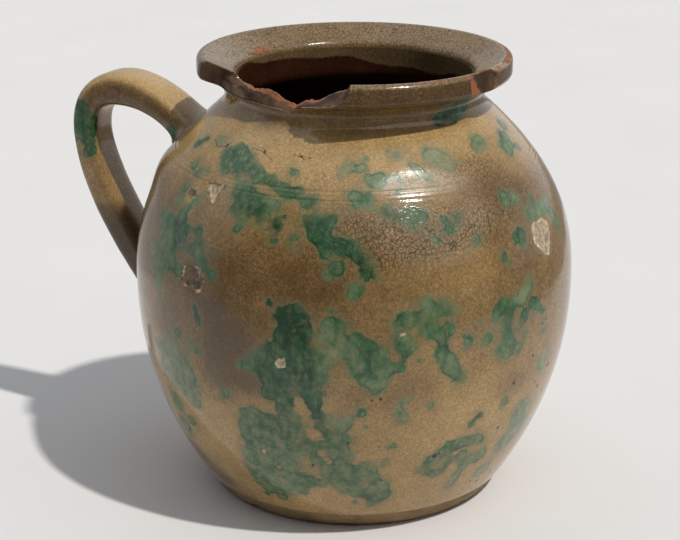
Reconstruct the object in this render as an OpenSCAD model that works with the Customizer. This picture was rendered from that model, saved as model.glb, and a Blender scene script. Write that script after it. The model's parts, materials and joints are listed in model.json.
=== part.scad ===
// Handled earthenware fermenting crock: a thrown jar with a broad dished rim, a luted strap handle,
// white slip and honey glaze outside, brown glaze inside, and splashes of copper green.
// Millimetres. +Z is up, the origin is the middle of the resting face, and the handle points to -X.

/* [Jar outline] */
// Height from the resting face to the top of the lip
jar_h = 280; // [272:1:292]
// Outside radius at the foot
foot_r = 91.5; // [86:0.5:98]
// Steepness of the wall where it leaves the foot, in degrees above level
foot_angle = 54; // [50:1:60]
// Outside radius at the widest part of the belly
belly_r = 139; // [133:0.5:146]
// Height of the widest part of the belly, as a share of the jar's height
belly_share = 0.5; // [0.47:0.01:0.53]
// Clear radius of the throat
throat_r = 73.5; // [71:0.5:76]
// Thickness of the wall at the narrowest part of the neck
neck_wall = 7.5; // [6.5:0.5:9]
// Depth of the narrowest part of the neck below the top of the lip
neck_drop = 25; // [22:0.5:28]
// Radius of the hollow curve round the neck
neck_cove = 8; // [6:0.5:9]
// Steepness of the shoulder where it runs into the neck, in degrees above level
shoulder_angle = 41; // [38:1:46]

/* [Rim] */
// Breadth of the rim from the throat to the outside of the lip
rim_w = 24.5; // [22:0.5:27]
// Rise of the rim's underside, in degrees above level
flare_angle = 20; // [14:1:24]
// Radius of the lip's lower edge
lip_low_round = 4; // [2:0.5:5]
// Radius of the lip's upper edge
lip_top_round = 4; // [2:0.5:5]
// Fall of the dished rim from the lip to the throat, in degrees below level
dish_angle = 27; // [22:1:30]
// Radius of the throat's rounded edge
throat_round = 5; // [3:0.5:6]

/* [Walls and coats] */
// Thickness of the wall with its coats
wall = 8; // [7:0.25:9.5]
// Thickness of the floor with its glaze
floor_t = 10; // [8:0.5:13]
// Radius of the hollow where the floor meets the wall inside
floor_round = 14; // [8:1:18]
// Thickness of the white slip
slip_t = 0.6; // [0.4:0.1:0.9]
// Thickness of the glaze
glaze_t = 0.6; // [0.4:0.1:0.9]
// Height at which the slip and the glaze stop above the foot
bare_foot_h = 11.5; // [8:0.5:16]

/* [Thrown sections] */
// Depth of the seam between the two thrown sections of the body below the top of the lip
seam_drop = 61; // [54:1:70]
// Height of the ridge that keys one section into the next
seam_key = 2.5; // [1.5:0.5:3.5]
// Radius of the floor disc at the resting face
floor_disc_r = 74; // [66:1:78]
// Growth of the floor disc's radius from the resting face to its top
floor_bevel = 6; // [3:0.5:8]

/* [Ring lines] */
// Distance between the two lines scratched round the shoulder
ring_gap = 4.5; // [3:0.5:7]
// Depth of each scratched line
ring_depth = 0.4; // [0.2:0.1:0.5]

/* [Handle] */
// Width of the strap
strap_w = 30; // [26:1:34]
// Thickness of the strap
strap_t = 18; // [15:0.5:19]
// Thickness of the strap where its lower end is pressed on
strap_tail_t = 10; // [8:0.5:12]
// Growth of the strap's width at each end
strap_spread = 5; // [2:0.5:7]
// Depth of the upper root's middle below the top of the lip
upper_root_drop = 62; // [58:1:66]
// Height of the lower root's middle, as a share of the jar's height
lower_root_share = 0.35; // [0.33:0.01:0.37]
// Distance from the jar's axis to the outermost point of the strap's middle line
handle_reach = 192; // [186:0.5:198]
// Depth of the outermost point below the top of the lip
bow_drop = 66; // [62:1:72]
// Rise of the strap as it leaves the shoulder, in degrees above level
upper_pitch = 44; // [40:1:48]
// Steepness of the strap as it reaches the belly, in degrees below level
lower_pitch = 61; // [58:1:66]
// Width of the slip that squeezes out round each root
lute_w = 3; // [2:0.5:4]

/* [Damage] */
// Bearing where the long break in the rim starts
break_from = 212; // [208:1:216]
// Depth of the chip in the lip
chip_depth = 6; // [4:0.5:8]
// Length of the chip along the lip
chip_length = 36; // [28:1:42]
// Bearing of the chip's middle
chip_bearing = 349; // [344:1:354]

/* [Copper splashes] */
// Thickness of the green glass that stands proud of the glaze
splash_t = 0.3; // [0.2:0.1:0.5]

/* [Hidden] */
$fn = 96;

// Radii that follow the throat, and heights that follow the jar's own.
neck_r = throat_r + neck_wall;
lip_r = throat_r + rim_w;
belly_z = jar_h * belly_share;
neck_z = jar_h - neck_drop;
seam_z = jar_h - seam_drop;
upper_root_z = jar_h - upper_root_drop;
handle_bow_z = jar_h - bow_drop;
lower_root_z = jar_h * lower_root_share;
percent = jar_h / 100;

coat_t = slip_t + glaze_t;
wall_step = 7;
hair = 0.01;
cut_reach = 60;
clay_red = [0.52, 0.29, 0.19];
slip_cream = [0.84, 0.78, 0.64];
honey = [0.60, 0.44, 0.22];
cellar_brown = [0.27, 0.12, 0.06];
copper_green = [0.13, 0.38, 0.25];

// Bearings run anticlockwise from +X, seen from above.
// Each station of the long break: bearing past its start, then the height of the fracture over the
// lip's top at the inner and at the outer cutting radius, in percent of the rim's depth.
break_in_r = throat_r - 3.5;
break_out_r = lip_r + 6;
break_top = jar_h + neck_drop;
break_stations = [
    [0, 40, 16], [3, 32, -48], [7, 16, -96], [13, -36, -120], [28, -38, -136], [40, -38, -136],
    [47, -52, -132], [54.5, -74, -112], [63, -56, -80], [72, -38, -68], [79, -16, -40], [82, 28, 16]
];

// Flakes lost from the glaze: bearing, then the height of the bare patch, its width and how tall it
// is, in percent of the jar's height.
spalls = [[352, 65, 9.3, 8.6], [251, 59.6, 6.4, 8.2], [248, 76, 4, 4.6], [240, 74.6, 3.2, 3.2]];

// Copper splashes: bearing, then height, radius and how far each one ran down, in percent of the
// jar's height.
splashes = [
    [255, 82.1, 3.6, 1.4], [268, 80.7, 1.4, 0], [277, 78.9, 1.8, 0], [263, 75.4, 4.3, 2.1],
    [273, 71.4, 2.1, 0], [285, 72.1, 3.6, 3.6], [289, 64.6, 2.1, 0], [295, 66.8, 1.8, 2.9],
    [296, 60.4, 1.8, 0], [297, 77.9, 2.1, 0], [309, 75, 2.1, 1.1], [316, 73.2, 1.8, 0],
    [345, 74.3, 1.8, 0], [342, 67.1, 2.1, 0.7], [357, 82.5, 2.1, 2.1], [243, 68.9, 2.9, 4.3],
    [242, 60, 2.5, 4.3], [241, 37.9, 2.9, 5.7], [277, 49.3, 4.3, 4.3], [281, 40, 2.9, 6.4],
    [269, 22.9, 5, 5.7], [287, 29.3, 2.1, 2.9], [294, 16.2, 5, 2.2], [288, 51.8, 2.5, 0.7],
    [296, 47.9, 3.2, 2.9], [307, 52.5, 2.5, 2.9], [318, 50, 2.5, 5.7], [334, 50.7, 2.9, 5],
    [342, 55.4, 2.1, 2.1], [320, 21.4, 3.2, 0], [346, 25.7, 2.5, 5], [20, 67.9, 2.9, 2.1],
    [36, 53.6, 3.6, 5], [62, 38.6, 3.2, 4.3], [76, 65.7, 3.9, 2.9], [96, 27.1, 4.3, 2.9],
    [106, 73.6, 2.9, 1.4], [122, 49.3, 3.6, 5.7], [138, 22.1, 4.6, 2.1], [150, 68.6, 2.1, 1.4]
];

// Points on an arc about a centre.
function arc(centre, r, from, to, steps) =
    [for (i = [0:steps]) let (a = from + (to - from) * i / steps) centre + r * [cos(a), sin(a)]];

function unit(v) = v / norm(v);

// Points on the arc that rounds the corner b between a and c.
function fillet(a, b, c, r, steps) =
    let (u = unit(a - b),
         v = unit(c - b),
         half = acos(u * v) / 2,
         centre = b + unit(u + v) * r / sin(half),
         first = b + u * r / tan(half) - centre,
         last = b + v * r / tan(half) - centre,
         from = atan2(first[1], first[0]),
         turn = (atan2(last[1], last[0]) - from + 540) % 360 - 180)
    arc(centre, r, from, from + turn, steps);

// A line moved by d to its left, which on the jar's outline is into the wall.
function inset(line, d) =
    let (last = len(line) - 1)
    [for (i = [0:last])
        let (t = unit(line[min(i + 1, last)] - line[max(i - 1, 0)])) line[i] + d * [-t[1], t[0]]];

function reversed(line) = [for (i = [len(line) - 1:-1:0]) line[i]];

// Heights from one to another in even steps near the usual step.
function heights(from, to) =
    let (n = max(2, round((to - from) / wall_step))) [for (i = [0:n]) from + (to - from) * i / n];

// The body swells from the foot to the belly and closes to the neck as powers of the height,
// with the exponents that give the two stated slopes.
cove_centre = [neck_r + neck_cove, neck_z];
cove = arc(cove_centre, neck_cove, 270 - shoulder_angle, 90 + flare_angle, 8);
shoulder_end = cove[0];
foot_power = belly_z / (belly_r - foot_r) / tan(foot_angle);
shoulder_power = (shoulder_end[1] - belly_z) / (belly_r - shoulder_end[0]) / tan(shoulder_angle);

function body_r(z) =
    z < belly_z
        ? belly_r - (belly_r - foot_r) * pow(1 - z / belly_z, foot_power)
        : belly_r - (belly_r - shoulder_end[0])
            * pow((z - belly_z) / (shoulder_end[1] - belly_z), shoulder_power);

function body_line(from, to) = [for (z = heights(from, to)) [body_r(z), z]];

// The outline over the glaze, up the outside, round the lip and down to the throat.
underside_end = cove[len(cove) - 1];
lip_low = [lip_r, underside_end[1] + (lip_r - underside_end[0]) * tan(flare_angle)];
lip_top = [lip_r, jar_h + lip_top_round * (tan(dish_angle) + 1 / cos(dish_angle) - 1)];
throat_edge = [throat_r, lip_top[1] - (lip_r - throat_r) * tan(dish_angle)];
throat_low = [throat_r, neck_z - neck_cove];
lip_line = concat(
    fillet(underside_end, lip_low, lip_top, lip_low_round, 5),
    fillet(lip_low, lip_top, throat_edge, lip_top_round, 6),
    fillet(lip_top, throat_edge, throat_low, throat_round, 6));
throat_z = lip_line[len(lip_line) - 1][1];
foot_line = body_line(0, bare_foot_h);
belly_line = body_line(bare_foot_h, seam_z);
shoulder_line = body_line(seam_z, shoulder_end[1]);
rim_line = concat(cove, lip_line);
belly_points = len(belly_line) - 1;
coated_line = concat([for (i = [0:belly_points - 1]) belly_line[i]],
                     [for (i = [0:len(shoulder_line) - 2]) shoulder_line[i]], rim_line);
outline = concat([for (i = [0:len(foot_line) - 2]) foot_line[i]], coated_line);

// Where a height on the outline falls in the list of points.
shoulder_start = belly_points;
rim_start = shoulder_start + len(shoulder_line) - 1;
coated_last = len(coated_line) - 1;
function stretch(line, from, to) = [for (i = [from:to]) line[i]];

// The clay under the coats.
clay_coated = inset(coated_line, coat_t);
clay_foot = concat([[foot_r - coat_t, 0]], [for (p = inset(foot_line, coat_t)) if (p[1] > 2) p]);

// The inside, over its glaze, from the middle of the floor up to the throat.
inside_from = 4;
inside_wall = inset(stretch(coated_line, 0, rim_start), wall);
floor_hit = inside_wall[inside_from]
    - (inside_wall[inside_from][1] - floor_t)
    * [(inside_wall[inside_from + 1][0] - inside_wall[inside_from][0])
       / (inside_wall[inside_from + 1][1] - inside_wall[inside_from][1]), 1];
neck_hit = [throat_r,
            inside_wall[rim_start][1] + (inside_wall[rim_start][0] - throat_r) * tan(shoulder_angle)];
inside_line = concat(
    [[0, floor_t]],
    fillet([0, floor_t], floor_hit, inside_wall[inside_from + 1], floor_round, 6),
    stretch(inside_wall, inside_from + 1, rim_start - 1),
    fillet(inside_wall[rim_start - 1], neck_hit, [throat_r, throat_z], neck_cove, 6),
    [[throat_r, throat_z]]);
clay_inside = inset(inside_line, -glaze_t);

// Places where one thrown section is keyed into the next: outside, ridge and inside of the wall.
function seam(i) =
    let (out = clay_coated[i], deep = inset(coated_line, wall - glaze_t)[i], along = unit(out - deep))
    [out, (out + deep) / 2 + seam_key * [-along[1], along[0]], deep];
body_seam = seam(shoulder_start);
rim_seam = seam(rim_start);

function inside_between(low, high) = [for (p = clay_inside) if (p[1] > low && p[1] < high) p];

// The strap's middle line: two curves in its own plane, out from the shoulder and back to the belly.
function curve(p, t) =
    pow(1 - t, 3) * p[0] + 3 * pow(1 - t, 2) * t * p[1] + 3 * (1 - t) * t * t * p[2] + pow(t, 3) * p[3];
upper_way = [cos(upper_pitch), sin(upper_pitch)];
lower_way = [cos(lower_pitch), sin(lower_pitch)];
upper_root = [body_r(upper_root_z), upper_root_z];
lower_root = [body_r(lower_root_z), lower_root_z];
bow = [handle_reach, handle_bow_z];
upper_pull = 0.73 * (handle_reach - upper_root[0]);
bow_pull_up = 0.43 * (handle_reach - upper_root[0]);
lower_pull = 0.41 * (handle_bow_z - lower_root_z);
bow_pull_down = 0.28 * (handle_bow_z - lower_root_z);
upper_curve = [upper_root, upper_root + upper_pull * upper_way, bow + [0, bow_pull_up], bow];
lower_curve = [bow, bow - [0, bow_pull_down], lower_root + lower_pull * lower_way, lower_root];
curve_steps = 15;
root_bite = wall;
tail_bite = 3 * wall;
strap_line = concat(
    [upper_root - root_bite * upper_way],
    [for (i = [0:curve_steps]) curve(upper_curve, i / curve_steps)],
    [for (i = [1:curve_steps]) curve(lower_curve, i / curve_steps)],
    [lower_root - tail_bite / 2 * lower_way],
    [lower_root - tail_bite * lower_way]);
strap_last = len(strap_line) - 1;
strap_middle = curve_steps + 1;

// The strap's section is a soft-cornered oval; its half sizes change along the line.
section_sides = 20;
section_power = 0.55;
function soft(x) = sign(x) * pow(abs(x), section_power);
function half_w(i) = strap_w / 2 + strap_spread / 2 * pow(2 * abs(i / strap_last - 0.5), 6);
function half_t(i) = strap_t / 2 - (strap_t - strap_tail_t) / 2 * pow(i / strap_last, 6);
function strap_ring(i, grow) =
    let (t = unit(strap_line[min(i + 1, strap_last)] - strap_line[max(i - 1, 0)]))
    [for (k = [0:section_sides - 1])
        let (a = 360 * k / section_sides,
             p = strap_line[i] + (half_t(i) + grow) * soft(sin(a)) * [-t[1], t[0]])
        [-p[0], (half_w(i) + grow) * soft(cos(a)), p[1]]];

// A stretch of the strap as one closed skin, grown outwards by a coat.
module strap_skin(from, to, grow) {
    rings = [for (i = [from:to]) strap_ring(i, grow)];
    n = section_sides;
    last = (to - from) * n;
    sides = [for (i = [0:to - from - 1], k = [0:n - 1])
        let (a = i * n + k, b = i * n + (k + 1) % n) each [[a, b, b + n], [a, b + n, a + n]]];
    caps = [for (k = [1:n - 2]) each [[0, k + 1, k], [last, last + k, last + k + 1]]];
    polyhedron(points = [for (r = rings) each r], faces = concat(sides, caps));
}

module turned(points) rotate_extrude() polygon(points);

// Everything inside the glaze's outer surface.
module jar_fill() turned(concat([[0, 0]], outline, [[0, throat_z]]));

module coat(from, to) turned(concat(inset(coated_line, from), reversed(inset(coated_line, to))));

// The lip and part of the flange that snapped off.
module rim_break() {
    n = len(break_stations);
    ring = function (s)
        let (way = [cos(break_from + s[0]), sin(break_from + s[0])])
        [[each break_in_r * way, jar_h + s[1] / 100 * neck_drop],
         [each break_out_r * way, jar_h + s[2] / 100 * neck_drop],
         [each break_out_r * way, break_top], [each break_in_r * way, break_top]];
    sides = [for (i = [0:n - 2], k = [0:3])
        let (a = i * 4 + k, b = i * 4 + (k + 1) % 4) each [[a, b, b + 4], [a, b + 4, a + 4]]];
    caps = [[0, 3, 2], [0, 2, 1], [4 * n - 4, 4 * n - 3, 4 * n - 2], [4 * n - 4, 4 * n - 2, 4 * n - 1]];
    polyhedron(points = [for (s = break_stations) each ring(s)], faces = concat(sides, caps));
}

// The scallop knocked out of the lip's outer face.
module lip_chip() {
    half = chip_length / 2;
    floor_r = lip_r - chip_depth;
    rotate(chip_bearing)
        translate([0, 0, neck_z + neck_cove / 2])
        linear_extrude(jar_h - neck_z + neck_cove)
        polygon([[lip_r + 2, -half], [floor_r + 2, -0.55 * half], [floor_r, -0.1 * half],
                 [floor_r + 1.5, 0.45 * half], [lip_r + 2, half], [lip_r + cut_reach / 4, 0]]);
}

module damage() {
    rim_break();
    lip_chip();
}

// Turns a flat shape to face outwards at a bearing and a height, and drives it through the wall.
module outwards(bearing, z)
    rotate([0, 0, bearing])
    translate([body_r(z) - cut_reach / 2, 0, z])
    rotate([90, 0, 90])
    linear_extrude(cut_reach)
    children();

module spall(s)
    outwards(s[0], s[1] * percent)
    scale(percent)
    polygon([for (k = [0:9])
        let (a = 36 * k, jag = k % 3 == 0 ? 0.5 : 0.44) [s[2] * jag * cos(a), s[3] * jag * sin(a)]]);

module ring_lines()
    for (side = [-1, 1])
        let (z = seam_z + side * ring_gap / 2)
        rotate_extrude() translate([body_r(z), z]) circle(r = ring_depth, $fn = 24);

// One splash: a round drop that narrows as it runs down, lying on the glaze.
module splash(s) {
    z = s[1] * percent;
    r = s[2] * percent;
    run = s[3] * percent;
    reach = r + run + 2 * wall_step;
    patch = [for (p = coated_line) if (abs(p[1] - z) < reach && p[1] < neck_z - neck_cove) p];
    spread = asin(min(0.9, (r + wall_step) / body_r(z)));
    intersection() {
        rotate(s[0] - spread)
            rotate_extrude(angle = 2 * spread) polygon(concat(patch, reversed(inset(patch, -splash_t))));
        outwards(s[0], z)
            for (k = [0:run > 0 ? 2 : 0]) translate([0, -run * k / 2]) circle(r * (1 - k / 4));
    }
}

module floor_disc()
    color(clay_red)
    turned([[0, 0], [floor_disc_r, 0], [floor_disc_r + floor_bevel, floor_t - glaze_t],
            [0, floor_t - glaze_t]]);

module belly_wall()
    color(clay_red)
    turned(concat(
        clay_foot,
        stretch(clay_coated, 1, shoulder_start - 1),
        body_seam,
        reversed(inside_between(floor_t - glaze_t + hair, body_seam[2][1] - hair)),
        [[floor_disc_r + floor_bevel, floor_t - glaze_t], [floor_disc_r, 0]]));

module shoulder_wall()
    color(clay_red)
    turned(concat(
        stretch(clay_coated, shoulder_start + 1, rim_start - 1),
        rim_seam,
        reversed(inside_between(body_seam[2][1] + hair, rim_seam[2][1] - hair)),
        reversed(body_seam)));

module rim_flange()
    color(clay_red)
    difference() {
        turned(concat(
            stretch(clay_coated, rim_start + 1, coated_last),
            [[throat_r + glaze_t, throat_z]],
            reversed(inside_between(rim_seam[2][1] + hair, throat_z - hair)),
            reversed(rim_seam)));
        damage();
    }

module handle_strap()
    color(clay_red)
    difference() {
        strap_skin(0, strap_last, -glaze_t);
        jar_fill();
    }

module upper_lute()
    color(slip_cream)
    intersection() {
        coat(0, coat_t);
        strap_skin(0, strap_middle, lute_w);
    }

module lower_lute()
    color(slip_cream)
    intersection() {
        coat(0, coat_t);
        strap_skin(strap_middle, strap_last, lute_w);
    }

module slip_coat()
    color(slip_cream)
    difference() {
        coat(glaze_t, coat_t);
        strap_skin(0, strap_last, lute_w);
        damage();
    }

module outer_glaze()
    color(honey)
    difference() {
        coat(0, glaze_t);
        strap_skin(0, strap_last, lute_w);
        damage();
        ring_lines();
        for (s = spalls) spall(s);
    }

module inner_glaze()
    color(cellar_brown)
    difference() {
        turned(concat(inside_line, reversed(clay_inside)));
        rim_break();
    }

module handle_glaze()
    color(honey)
    difference() {
        strap_skin(0, strap_last, 0);
        strap_skin(0, strap_last, -glaze_t);
        jar_fill();
    }

module copper_splashes()
    color(copper_green)
    for (s = splashes) splash(s);

floor_disc();
belly_wall();
shoulder_wall();
rim_flange();
handle_strap();
upper_lute();
lower_lute();
slip_coat();
outer_glaze();
inner_glaze();
handle_glaze();
copper_splashes();
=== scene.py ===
# %% [markdown]
# # An old crock in honey glaze
# This lesson dresses the CAD model of a glazed earthenware jar that has lost part of its rim.
# The CAD solids give the size and the place of everything. Blender adds what makes the jar look
# old and real: a rough break, flakes, crazing, copper green that ran in the kiln, and a worn lip.

# %% Load the frame
import json
import math
from types import SimpleNamespace

import bmesh
import bpy
import numpy as np
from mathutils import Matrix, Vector

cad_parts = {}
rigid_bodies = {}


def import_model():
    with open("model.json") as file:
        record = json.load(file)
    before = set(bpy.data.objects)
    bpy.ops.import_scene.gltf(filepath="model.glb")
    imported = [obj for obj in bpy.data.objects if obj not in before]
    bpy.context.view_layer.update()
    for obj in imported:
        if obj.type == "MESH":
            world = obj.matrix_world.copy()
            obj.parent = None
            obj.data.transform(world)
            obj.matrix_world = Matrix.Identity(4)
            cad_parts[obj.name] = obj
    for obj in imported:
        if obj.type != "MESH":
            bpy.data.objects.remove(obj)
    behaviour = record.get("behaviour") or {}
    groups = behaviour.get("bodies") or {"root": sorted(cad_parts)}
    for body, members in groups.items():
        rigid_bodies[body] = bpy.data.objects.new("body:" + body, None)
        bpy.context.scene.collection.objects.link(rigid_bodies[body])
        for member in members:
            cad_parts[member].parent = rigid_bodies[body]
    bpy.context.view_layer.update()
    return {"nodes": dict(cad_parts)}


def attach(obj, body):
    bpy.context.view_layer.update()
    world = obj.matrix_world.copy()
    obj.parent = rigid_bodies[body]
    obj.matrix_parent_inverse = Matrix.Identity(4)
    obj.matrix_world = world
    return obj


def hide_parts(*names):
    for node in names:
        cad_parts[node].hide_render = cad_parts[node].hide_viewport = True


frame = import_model()
nodes = frame["nodes"]
MM = 0.001
print("CAD pieces:", ", ".join(sorted(nodes)))

# %% [markdown]
# ## The camera
# The jar was seen from a little above, with the handle on the left. The lens is long, so the rim's
# ellipse stays flat. The place and the lens were worked out from the width of the belly, the foot
# and the rim, and are written here as plain numbers.

# %% Set the camera
SENSOR, LENS = 36, 96.48
CAMERA_AT, CAMERA_WAY = Vector((0.4504, -1.0147, 0.5121)), Vector((-0.3913, 0.8627, -0.3203))
camera_data = bpy.data.cameras.new("camera")
camera_data.sensor_fit = "HORIZONTAL"
camera_data.sensor_width, camera_data.lens = SENSOR, LENS
camera = bpy.data.objects.new("camera", camera_data)
camera.location = CAMERA_AT
camera.rotation_euler = CAMERA_WAY.to_track_quat("-Z", "Y").to_euler()
bpy.context.scene.collection.objects.link(camera)
bpy.context.scene.camera = camera
print("camera looks down by", round(math.degrees(math.asin(-CAMERA_WAY.z)), 1), "degrees")

# %% [markdown]
# ## Meshes from grids
# Almost every piece here is a sheet of points with rows and columns, as a net is. One helper turns
# such a sheet into a mesh. It joins each point to its neighbours, closes the sheet on itself where
# it is asked to, and turns all faces outwards by the sign of the volume that they enclose.

# %% Sheets of points
def sheet(name, points, close_rows=True, close_sides=True):
    """A mesh on a grid of points in millimetres. Corner (i, j) joins (i, j+1), (i+1, j+1) and
    (i+1, j). A closed direction joins its last line to its first; rows that stay open are capped."""
    rows, sides = points.shape[:2]
    i = np.arange(rows if close_rows else rows - 1)[:, None]
    j = np.arange(sides if close_sides else sides - 1)[None, :]
    below, above = i * sides, (i + 1) % rows * sides
    after = (j + 1) % sides
    faces = np.stack([below + j, below + after, above + after, above + j], -1).reshape(-1, 4)
    flat = points.reshape(-1, 3)
    a, b, c, d = (flat[faces[:, k]] for k in range(4))
    volume = np.einsum("ij,ij->", a, np.cross(b, c)) + np.einsum("ij,ij->", a, np.cross(c, d))
    faces = faces.tolist()
    if not close_rows:
        faces += [list(range(sides))[::-1], list(range((rows - 1) * sides, rows * sides))]
    if volume < 0:
        faces = [face[::-1] for face in faces]
    mesh = bpy.data.meshes.new(name)
    mesh.from_pydata((flat * MM).tolist(), [], faces)
    piece = bpy.data.objects.new(name, mesh)
    bpy.context.scene.collection.objects.link(piece)
    return piece


def weld(piece):
    """Joins points that lie on each other, as at a pole."""
    shape = bmesh.new()
    shape.from_mesh(piece.data)
    bmesh.ops.remove_doubles(shape, verts=shape.verts, dist=1e-7)
    shape.to_mesh(piece.data)
    shape.free()


def corners(piece):
    """All points of a piece, in millimetres."""
    flat = np.empty(3 * len(piece.data.vertices))
    piece.data.vertices.foreach_get("co", flat)
    return flat.reshape(-1, 3) / MM


def smooth(piece, sharp=38):
    """Smooth shading, with edges kept where the surface turns by more than an angle."""
    piece.data.polygons.foreach_set("use_smooth", [True] * len(piece.data.polygons))
    piece.data.set_sharp_from_angle(angle=math.radians(sharp))


def note(piece, **fields):
    """Writes one number per point into the mesh, for the materials to read."""
    for name, values in fields.items():
        layer = piece.data.attributes.new(name, "FLOAT", "POINT")
        layer.data.foreach_set("value", np.ascontiguousarray(values, np.float32))
    print(piece.name, len(piece.data.vertices), "points, fields:", ", ".join(fields))


# %% [markdown]
# ## Unevenness
# Nothing made by hand is exact. A lattice of random heights, blended smoothly from one corner to
# the next, gives lumps of any size, and a fixed seed gives the same lumps at every run.

# %% Lumps
def lumps(points, size, seed):
    """Smooth lumps from -1 to 1: a random height on each corner of a cubic lattice, blended inside
    each cell by the curve 3t^2 - 2t^3 along each axis."""
    cell = points / size
    corner = np.floor(cell).astype(np.int64)
    part = cell - corner
    part = part * part * (3 - 2 * part)
    total = np.zeros(points.shape[:-1])
    for step in np.ndindex(2, 2, 2):
        at = corner + np.array(step)
        key = at[..., 0] * 73856093 ^ at[..., 1] * 19349663 ^ at[..., 2] * 83492791 ^ seed * 7919
        key = (key ^ key >> 13) * 1274126177
        key = (key ^ key >> 16) & 0xFFFF
        total += np.prod(np.where(step, part, 1 - part), -1) * (key / 32767.5 - 1)
    return total


def ease(values, low, high):
    """A smooth step from 0 at low to 1 at high."""
    t = np.clip((values - low) / (high - low), 0, 1)
    return t * t * (3 - 2 * t)


# %% [markdown]
# ## The jar's outline
# A thrown jar is a line turned round an axis. The line here repeats the CAD model: two power curves
# that meet at the widest part of the belly, a hollow neck, and a broad rim that falls to the throat.
# Lines that lie deeper, such as the clay under its coats, are the same line moved inwards.

# %% Outline
JAR_H, BELLY_Z, BELLY_R = 280, 140, 139
LOW_FALL, LOW_POWER, HIGH_FALL, HIGH_POWER, HIGH_SPAN = 47.5, 2.141, 55.25, 2.269, 108.96
SHOULDER = np.array([83.75, 248.96])
COAT, GLAZE, WALL, BARE_FOOT = 1.2, 0.6, 8, 11.5


def body_radius(z):
    """The belly's radius less a power of the height above or below the widest part."""
    low = BELLY_R - LOW_FALL * np.clip(1 - z / BELLY_Z, 0, None) ** LOW_POWER
    high = BELLY_R - HIGH_FALL * np.clip((z - BELLY_Z) / HIGH_SPAN, 0, None) ** HIGH_POWER
    return np.where(z < BELLY_Z, low, high)


def arc(centre, radius, start, end, steps=16):
    """Points on a circle between two angles in degrees."""
    angle = np.radians(np.linspace(start, end, steps))
    return np.array(centre) + radius * np.stack([np.cos(angle), np.sin(angle)], -1)


def rounded(before, corner, after, radius):
    """The arc that touches both sides of a corner."""
    before, corner, after = (np.array(p, float) for p in (before, corner, after))
    u = (before - corner) / np.linalg.norm(before - corner)
    v = (after - corner) / np.linalg.norm(after - corner)
    half = math.acos(u @ v) / 2
    centre = corner + (u + v) / np.linalg.norm(u + v) * radius / math.sin(half)
    first, last = (corner + w * radius / math.tan(half) - centre for w in (u, v))
    start = math.degrees(math.atan2(first[1], first[0]))
    end = math.degrees(math.atan2(last[1], last[0]))
    return arc(centre, radius, start, start + (end - start + 540) % 360 - 180)


def inset(line, depth):
    """A line moved to its left by a depth, along its own normals."""
    way = np.gradient(line, axis=0)
    way /= np.linalg.norm(way, axis=1)[:, None]
    return line + np.reshape(depth, (-1, 1)) * np.stack([-way[:, 1], way[:, 0]], -1)


def body_line(low, high, steps):
    """Radius and height of points on the body's side, between two heights."""
    z = np.linspace(low, high, steps)
    return np.stack([body_radius(z), z], -1)


cove = arc((89, 255), 8, 229, 110, 24)
LIP_R, THROAT_R, FLOOR_TOP = 98, 73.5, 10
LIP_LOW, LIP_TOP, THROAT = (LIP_R, 266.79), (LIP_R, 282.53), (THROAT_R, 270.04)
outline = np.concatenate([
    body_line(BARE_FOOT, SHOULDER[1], 300)[:-1], cove, rounded(cove[-1], LIP_LOW, LIP_TOP, 4),
    rounded(LIP_LOW, LIP_TOP, THROAT, 4), rounded(LIP_TOP, THROAT, (THROAT_R, 247), 5)])
THROAT_Z = outline[-1, 1]
print("outline of", len(outline), "points, throat edge ends at", round(THROAT_Z, 2), "mm")

# %% [markdown]
# ## Turning a line
# A grid that is fine everywhere would be heavy, so rows are packed only where the outline needs
# them: at the scratched lines on the shoulder and round the lip. A turned shell runs up the outer
# line and back down an inner line with few rows, so that it encloses a thin closed skin.

# %% Turning
def spaced(line, gap):
    """Points along a line whose distance apart follows gap, one value for each point of the line."""
    step = np.linalg.norm(np.diff(line, axis=0), axis=1)
    density = 1 / np.broadcast_to(gap, len(line)).astype(float)
    count = np.concatenate([[0], np.cumsum(step * (density[1:] + density[:-1]) / 2)])
    rows = np.linspace(0, count[-1], max(2, int(round(count[-1])) + 1))
    return np.stack([np.interp(rows, count, line[:, k]) for k in (0, 1)], -1)


def turned(line, sides):
    """The line turned round the Z axis: a point at radius r goes to (r cos a, r sin a, z)."""
    angle = np.linspace(0, 2 * math.pi, sides, endpoint=False)
    ring = np.stack([np.cos(angle), np.sin(angle)], -1)
    flat = line[:, None, :1] * ring[None]
    return np.concatenate([flat, np.broadcast_to(line[:, None, 1:], flat.shape[:2] + (1,))], -1)


def swung(points, angle):
    """Points turned round the Z axis by an angle."""
    x, y = points[..., 0], points[..., 1]
    return np.stack([x * np.cos(angle) - y * np.sin(angle), x * np.sin(angle) + y * np.cos(angle),
                     points[..., 2]], -1)


def pushed(points, line, amount):
    """Moves each turned point out along the line's normal by an amount in millimetres."""
    way = np.gradient(line, axis=0)
    way /= np.linalg.norm(way, axis=1)[:, None]
    radius = np.hypot(points[..., 0], points[..., 1])
    grown = (radius + way[:, None, 1] * amount) / np.maximum(radius, 1e-6)
    return np.stack([points[..., 0] * grown, points[..., 1] * grown,
                     points[..., 2] - way[:, None, 0] * amount], -1)


SIDES = 440
z = outline[:, 1]
row_gap = np.select([z > 247, z > 223.5, z > 214.5, z > 150], [1.4, 2.4, .55, 2], 3.2)
glaze_line = spaced(outline, row_gap)
print("rows on the glazed body:", len(glaze_line))

# %% [markdown]
# ## Where the copper fell
# The potter shook copper over the wet slip, and in the kiln it melted into the glaze and ran. Each
# run is a strength and a chain of drops, and a drop is a bearing, a height and a radius. Strong runs
# are dark, and weak ones pale. Gaps are places that stayed honey.

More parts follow.
